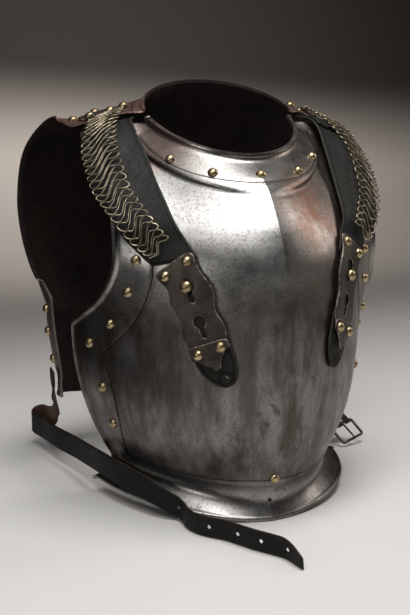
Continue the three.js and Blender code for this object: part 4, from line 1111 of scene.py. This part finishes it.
def build_strap(strap):
    name = strap["name"]
    rows = leather_rows(strap)
    leather, size, half_width = strip(rows, FORWARD_UP)
    piece = sheet_piece("leather_shoulder_strap_" + name, patch_mapper(leather, size, half_width), size, 2.6,
                        lambda s: float(half_width(s)), LEATHER_WALL, None, LEATHER, 1.4)
    dress(piece, "leather", "leather_strap_" + name)
    chain_piece(strap, chain_rows(strap, rows))
    if name == "left":
        torn_flap(leather, size, half_width)

    piece = laid_piece(strap, "keyhole_iron", 0, KEY_LENGTH, PLATE_HEIGHT, 15,
                       1.2, key_half, IRON_WALL, keyholes, IRON, 0.8)
    dress(piece, "iron", "keyhole_plate_" + name)
    spots = [on_axis(strap, 7, t, PLATE_HEIGHT + IRON_WALL) for t in (-13, 13)]
    piece = laid_piece(strap, "clip_iron", CLIP_START, CLIP_LENGTH, CLIP_HEIGHT, 6,
                       1.1, clip_half, IRON_WALL, None, IRON, 0.8)
    dress(piece, "iron", "clip_plate_" + name)
    spots += [on_axis(strap, 92, t, CLIP_HEIGHT + IRON_WALL) for t in (-12, 12)]

    # the tip's leather runs on up behind the iron plate, where the keyholes show it
    hole = lambda S, T: np.minimum(np.hypot(S - (TIP_LENGTH - 9), T) - 2.6,
                                   np.hypot(S - (strap["stud"] - TIP_START), T) - 3.4)
    piece = laid_piece(strap, "leather_tip", TIP_START, TIP_LENGTH, LEATHER_HEIGHT, 20,
                       1.5, tip_half, LEATHER_WALL, hole, LEATHER, 1.3)
    dress(piece, "leather", "strap_tip_" + name)

    spots += [on_shoulder(strap, x, y, ANCHOR_HEIGHT + ANCHOR_WALL) for x, y in ((112, 30), (130, 44))]
    dress(domes_piece("strap_rivets_" + name, spots), "brass")
    stud_piece(strap)
    anchor_piece(strap)


def stud_piece(strap):
    centre, _, _, n = axis_frame(strap, strap["stud"], GAP)
    n = unit(n)
    neck = PLATE_HEIGHT + IRON_WALL + 0.9
    angle = np.radians([8, 20, 33, 46, 60, 74, 88])
    radii = np.concatenate([[0.01, 2.2, 2.2, 6.0], 6.0 * np.cos(angle)])
    heights = np.concatenate([[0, 0, neck, neck + 0.2], neck + 0.6 + 4.2 * np.sin(angle)])
    rings = rings_round(centre + n * heights[:, None], *square_to(n, (0, 0, 1)), radii, 28)
    piece = skins_piece("stud_" + strap["name"], [rings], BRASS, sharp=50)
    dress(piece, "brass", "strap_stud_" + strap["name"])


def anchor_piece(strap):
    """The anchor plate on the backplate's shoulder, and the two knuckles that hold the chain."""
    back_edge, front_edge = np.array([[107, 39], [140, 62]]), np.array([[100, 20], [138, 47]])
    grid = []
    for v in np.linspace(0, 1, 5):
        row = []
        for u in np.linspace(0, 1, 7):
            back_xy = back_edge[0] * (1 - u) + back_edge[1] * u
            front_xy = front_edge[0] * (1 - u) + front_edge[1] * u
            row.append(on_shoulder(strap, *(back_xy * (1 - v) + front_xy * v), ANCHOR_HEIGHT)[0])
        grid.append(row)
    grid = np.array(grid)
    hint = np.array([strap["sign"] * 0.3, -0.2, 0.9])
    patch, size, half_width = strip(grid, hint)
    half = lambda s: float(half_width(s)) - 3.5 * float(1 - smooth(s, 0, 7)) ** 2
    piece = sheet_piece("anchor_iron_" + strap["name"], patch_mapper(patch, size, half_width), size, 1.3,
                        half, ANCHOR_WALL, None, IRON, 0.9)
    dress(piece, "iron", "anchor_plate_" + strap["name"])
    front = grid[-1]
    n = grid_normals(grid, hint)[-1, 3]
    along = unit(front[-1] - front[0])
    rods = []
    for t in (0.22, 0.78):
        middle = front[0] * (1 - t) + front[-1] * t + n * 2.7
        rods.append(rod(middle - along * 4.5, middle + along * 4.5, 2.6))
    # edge=0.6: the knuckles take patches of the iron's painted edge highlight.
    dress(skins_piece("knuckles_" + strap["name"], rods, IRON, sharp=60, edge=0.6), "iron")


def rod(a, b, radius):
    """A round bar from a to b with softened ends."""
    d = unit(b - a)
    s = np.array([0, 0.05, 0.12, 0.88, 0.95, 1])
    radii = radius * np.array([0.75, 0.95, 1, 1, 0.95, 0.75])
    return rings_round(a + (b - a) * s[:, None], *square_to(d, (0, 0, 1) if abs(d[2]) < 0.8 else (1, 0, 0)), radii, 16)


for strap in STRAPS:
    build_strap(strap)


# ------------------------------------------------------------------ rivets
def plate_spots(plate, prefix, table, raise_by):
    for sign, side in ((-1, "right"), (1, "left")):
        spots = []
        for p, v in table:
            n = plate_normal(plate, sign * p, v)
            q = plate_point(plate, sign * p, v)
            if n @ (q - np.array([0, 0, 200])) < 0:
                n = -n
            spots.append((q + n * raise_by, n))
        piece = domes_piece(f"{prefix}s_{side}", spots)
        dress(piece, "brass", *[f"{prefix}_{side}_{i + 1}" for i in range(len(table))])


plate_spots(BREAST, "breast_arm_rivet", [[0.9, 6.62], [0.9, 5.6], [0.88, 4.7]], RAISE)
plate_spots(BREAST, "breast_side_rivet", [[0.88, 4.05], [0.81, 2.6], [0.82, 1.25]], RAISE)
plate_spots(BACK, "back_side_rivet", [[0.92, 3.7], [0.92, 2.3], [0.92, 0.8]], 0.7)


def neck_place(p, k):
    p = np.array([float(p)])
    base = plate_point(BREAST, p, np.array([float(TOP)]))
    return neck_point(BREAST, base, p, np.zeros((1, 3)), k)[0]


def front_spots():
    spots = []
    table = [(-0.57, 0.22), (-0.28, 0.22), (0, 0.28), (0.28, 0.22), (0.57, 0.22)]
    for p, k in table:
        q = neck_place(p, k)
        n = unit(np.cross(neck_place(p + 0.02, k) - q, neck_place(p, k + 0.05) - q))
        if n[1] > 0:
            n = -n
        spots.append((q + n * RAISE * 0.5, n))
    piece = domes_piece("breast_neck_rivets", spots)
    dress(piece, "brass", *[f"breast_neck_rivet_{i + 1}" for i in range(5)])
    n = plate_normal(BREAST, 0.0, 0.1)
    n = unit(n * np.array([0, 1, 1]))
    piece = domes_piece("waist_rivet", [(plate_point(BREAST, 0.0, 0.1), n)])
    dress(piece, "brass", "breast_waist_rivet")
    for strap in STRAPS:
        spots = [on_shoulder(strap, x, y, 0.5) for x, y in ((97, 35), (121, 61), (142, 72))]
        piece = domes_piece("back_shoulder_rivets_" + strap["name"], spots)
        dress(piece, "brass", *[f"back_shoulder_rivet_{strap['name']}_{i + 1}" for i in range(3)])


front_spots()

# ------------------------------------------------------------------ belts
# the belts' middle lines: a place, the direction across the belt there, and its half width
LONG_BELT = np.array([
    [-161, 122, 112, 0.12, 0.99, 0.0, 13],
    [-160, 124, 96, 0.12, 0.99, 0.05, 13],
    [-158, 128, 76, 0.35, 0.85, -0.35, 13],
    [-153, 134, 60, 0.3, 0.45, -0.85, 13],
    [-151, 148, 50, 0.05, 0.1, -1, 13],
    [-152, 172, 42, 0, 0, -1, 13],
    [-152, 196, 38, 0, 0, -1, 13],
    [-156, 211, 34, 0, 0, -1, 13],
    [-163, 213, 31, 0, 0, -1, 13],
    [-167, 200, 29, 0, 0, -1, 13],
    [-161, 165, 29, 0, 0, -1, 13],
    [-156, 125, 29.5, 0, 0, -1, 13],
    [-146.5, 76, 30.5, 0, 0, -1, 13],
    [-142, 31, 33, 0, 0, -1, 13],
    [-139.5, -10.5, 36.5, 0, 0, -1, 13],
    [-132.5, -40, 35.2, 0, 0, -1, 13],
    [-122.5, -64, 31.8, 0, 0, -1, 13],
    [-111.5, -86, 27, 0, 0, -1, 12.6],
    [-99.5, -101, 20.3, 0, 0, -1, 11.8],
    [-91, -108, 15.5, 0, 0, -1, 11.2],
    [-88.5, -119, 13, 0, 0, -1, 11],
    [-89, -132, 11.8, 0, 0, -1, 10.9],
    [-86, -147, 11.3, 0.06, 0.03, -1, 10.8],
    [-79, -160, 11.3, 0.08, 0.04, -1, 10.8],
    [-67, -174, 11.3, 0.08, 0.04, -1, 10.8],
    [-58, -191, 11.3, 0.08, 0.04, -1, 10.8],
    [-49, -208, 11.3, 0.08, 0.04, -1, 10.8],
    [-39, -223, 11.2, 0.08, 0.04, -1, 10.7],
    [-32, -234.5, 10.9, 0.08, 0, -1, 10.4],
    [-29.5, -245, 9.9, 0.08, 0, -1, 9.4],
    [-28.5, -255, 8.2, 0.08, 0, -1, 7.7],
    [-27, -264.5, 5.8, 0.08, 0, -1, 5.3],
])
SHORT_BELT = np.array([
    [162, 122, 112, 0.12, -0.99, 0, 13],
    [162, 119, 96, 0.1, -0.99, 0.05, 13],
    [165, 112, 78, -0.1, -0.95, -0.1, 13],
    [171, 103, 60, -0.4, -0.85, -0.15, 13],
    [179, 92, 46, -0.7, -0.65, -0.2, 12.5],
    [187, 79, 34, -0.88, -0.42, -0.2, 12],
    [193, 68, 24, -0.93, -0.3, -0.2, 11.5],
])


LONG_STEPS, SHORT_STEPS, BELT_SLOT_HALF, BELT_HOLE = 56, 14, 2.2, 2.1


def belt_line(table, steps):
    t = np.linspace(0, len(table) - 1, steps + 1)
    value = lambda c: hermite(np.arange(len(table)), table[:, c], t)
    centre = np.stack([value(0), value(1), value(2)], 1)
    side = unit(np.stack([value(3), value(4), value(5)], 1))
    return centre, side, value(6)


def running_normals(centre, side):
    n = unit(np.cross(np.gradient(centre, axis=0), side))
    for i in range(1, len(n)):
        if n[i] @ n[i - 1] < 0:
            n[i] = -n[i]
    return n


def belt_piece(name, node, table, coarse, step, holes=None, slot=None):
    """holes: mm from the tip. slot: its length from the end and its half width."""
    fine = coarse * 8
    centre, side, half = belt_line(table, fine)
    c0, s0, _ = belt_line(table, coarse)
    n = running_normals(centre, side)
    n0 = running_normals(c0, s0)
    if n[8] @ n0[1] < 0:
        n = -n
    length = np.concatenate([[0], np.cumsum(np.linalg.norm(np.diff(centre, axis=0), axis=1))])
    total = length[-1]

    def mapper(S, T):
        at = lambda a: np.stack([np.interp(S, length, a[:, k]) for k in range(3)], -1)
        return at(centre) + unit(at(side)) * T[..., None], unit(at(n))

    half_at = lambda s: float(np.interp(s, length, half))
    distance = None
    if holes:
        spots = [total - h for h in holes]
        distance = lambda S, T: np.min([np.hypot(S - h, T) - BELT_HOLE for h in spots], axis=0)
    if slot:
        distance = lambda S, T: np.maximum(np.abs(T) - slot[1], (total - slot[0]) - S)
    piece = sheet_piece(name, mapper, total, step, half_at, LEATHER_WALL, distance, BELT, 1.3)
    return dress(piece, "leather", node)


belt_piece("long_belt", "belt_long", LONG_BELT, LONG_STEPS, 1.7, holes=(26, 56, 84, 117, 172))
belt_piece("short_belt", "belt_short", SHORT_BELT, SHORT_STEPS, 1.5, slot=(9.4, BELT_SLOT_HALF))


# ------------------------------------------------------------------ the buckle
def tube_piece(name, path, radii, closed=False):
    if closed:
        tangent = unit(np.roll(path, -1, 0) - np.roll(path, 1, 0))
    else:
        tangent = unit(np.gradient(path, axis=0))
    rings = rings_round(path, *square_to(tangent, (0.3, 0.2, 0.93)), radii, 14)
    # edge=1.0: a little of the iron's painted edge highlight shows where the noise lowers it.
    return skins_piece(name, [rings], IRON, sharp=55, edge=1.0, closed=closed)


def buckle_pieces():
    """A square frame and its pin at the end of the short belt, each on its own body."""
    centre, side, _ = belt_line(SHORT_BELT, SHORT_STEPS)
    end, last, across = centre[-1], centre[-2], side[-1]
    run = end - last
    run = unit(run - across * (run @ across))
    n = np.cross(run, across)
    if n @ FORWARD_UP < 0:
        n = -n
    thick = running_normals(centre, side)[-1]
    under = LEATHER_WALL if thick @ n < 0 else 0
    near = end - run * 5 - n * (1.7 + 0.75 + under)
    half, length, r, wire = 17.0, 24.0, 3.2, 1.7
    path = []
    corners = ((half - r, r), (half - r, length - r), (-half + r, length - r), (-half + r, r))
    for quarter, (cx, cy) in enumerate(corners):
        for a in np.radians(np.linspace(0, 90, 7) + 90 * quarter - 90):
            path.append((cx + r * math.cos(a), cy + r * math.sin(a)))
    path = np.array([near + across * x + run * y for x, y in path])
    piece = tube_piece("buckle_square", path, np.full(len(path), wire), closed=True)
    dress(piece, "iron", "buckle_frame", body="buckle_frame")
    loop = wire + 1.05
    ring = [near + (run * math.cos(a) + n * math.sin(a)) * loop for a in np.radians(np.linspace(-250, 80, 26))]
    pin = [near + run * y + n * (loop + 0.75 * y / 26) for y in np.linspace(1.5, 26.4, 10)]
    path = np.array(ring + pin)
    radius = [1.05] * len(ring) + [1.25] * 7 + [1.1, 0.9, 0.6]
    piece = tube_piece("buckle_tongue", path, radius)
    dress(piece, "iron", "buckle_pin", body="buckle_pin")


buckle_pieces()

# ------------------------------------------------------------------ floor, light and camera
def floor_look():
    """Pale in front, with painted shade: darker behind, up the backdrop and near black towards its top, and a painted
    shadow beyond the left edge of the camera's view, which the steel reflects as dark.
    """
    k = Look("floor_with_painted_shade", 0.0, 0.8, 0.2)
    colour = k.mix(k.noise(2.2, 3, 0.5), (0.6, 0.585, 0.57), (0.64, 0.625, 0.61))
    # Painted shade: darker behind and up the wall.
    colour = k.mix(k.ramp(k.axis(1), 0.1, 1.3), colour, (0.27, 0.247, 0.23))
    colour = k.mix(k.ramp(k.axis(2), 0.03, 0.25), colour, (0.3, 0.272, 0.25))
    height = k.plus(k.axis(2), k.times(k.axis(0), 0.05))
    # Painted shade: near black towards the top of the backdrop.
    colour = k.mix(k.ramp(height, 0.22, 0.56), colour, (0.02, 0.017, 0.015))
    # Painted shadow, near black, on the left, which the steel also reflects.
    left = k.plus(k.axis(0), k.times(k.axis(1), -0.1))
    return k.finish(k.mix(k.ramp(left, -0.31, -0.43), colour, (0.008, 0.007, 0.007)))


def sweep():
    """A floor that curves up into the backdrop, in metres."""
    front, bend, radius, top, half_width = -3.0, 1.6, 0.9, 4.0, 4.5
    profile = [(front, 0.0)] + [(y, 0.0) for y in np.linspace(-1, bend, 14)]
    for a in np.radians(np.linspace(7.5, 90, 12)):
        profile.append((bend + radius * math.sin(a), radius - radius * math.cos(a)))
    profile.append((bend + radius, top))
    n = len(profile)
    verts = [(x, y, z) for x in (-half_width, half_width) for y, z in profile]
    faces = [(i, i + 1, n + i + 1, n + i) for i in range(n - 1)]
    mesh = bpy.data.meshes.new("floor")
    mesh.from_pydata(verts, [], faces)
    mesh.polygons.foreach_set("use_smooth", np.full(len(mesh.polygons), True))
    mesh.materials.append(floor_look())
    floor = bpy.data.objects.new("floor", mesh)
    bpy.context.scene.collection.objects.link(floor)
    floor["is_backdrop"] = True


sweep()


def aim(where, target):
    return (Vector(target) - Vector(where)).to_track_quat("-Z", "Y").to_euler()


def area(name, where, target, size, power, color, spread_degrees=180):
    data = bpy.data.lights.new(name, "AREA")
    data.energy = power
    data.color = color
    data.shape = "RECTANGLE"
    data.size, data.size_y = size
    data.spread = math.radians(spread_degrees)
    lamp = bpy.data.objects.new(name, data)
    bpy.context.scene.collection.objects.link(lamp)
    lamp.location = where
    lamp.rotation_euler = aim(where, target)


TARGET = (0.0, -0.05, 0.24)
area("key", (-0.74, -0.86, 1.8), TARGET, (1.3, 1.15), 14, (1.0, 0.99, 0.97))
area("left_card", (-1.45, -0.8, 0.5), TARGET, (0.4, 0.25), 3.0, (1.0, 0.98, 0.95))
area("right_strip", (1.5, -0.1, 1.0), TARGET, (0.4, 1.0), 6, (1.0, 0.93, 0.87))
area("overhead", (0.05, -0.5, 2.4), (0.0, -0.45, 0), (1.5, 0.9), 22.5, (1, 1, 1), 120)
area("backdrop_light", (0.45, 1.1, 1.3), (0.45, 2.5, 0.3), (1.5, 0.5), 17, (1.0, 0.96, 0.92), 110)
world = bpy.data.worlds.new("studio")
world.use_nodes = True
world.node_tree.nodes["Background"].inputs[0].default_value = (0.5, 0.48, 0.46, 1)
world.node_tree.nodes["Background"].inputs[1].default_value = 0.035
bpy.context.scene.world = world


def camera():
    data = bpy.data.cameras.new("camera")
    data.sensor_width = 36
    data.sensor_fit = "AUTO"
    data.lens = 67.32
    data.clip_start = 0.05
    cam = bpy.data.objects.new("camera", data)
    bpy.context.scene.collection.objects.link(cam)
    az, el = math.radians(-21.238), math.radians(10.369)
    cam.location = tuple(place((-462.6, -1143.6, 420.2)))
    back_dir = Vector((math.sin(az) * math.cos(el), -math.cos(az) * math.cos(el), math.sin(el)))
    cam.rotation_euler = back_dir.to_track_quat("Z", "Y").to_euler()
    bpy.context.scene.camera = cam


camera()
bpy.context.scene.view_settings.view_transform = "Standard"
as_list = lambda box: [[float(c) for c in corner] for corner in box]
{"cad": as_list(CAD_BOX), "visual": as_list(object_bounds())}
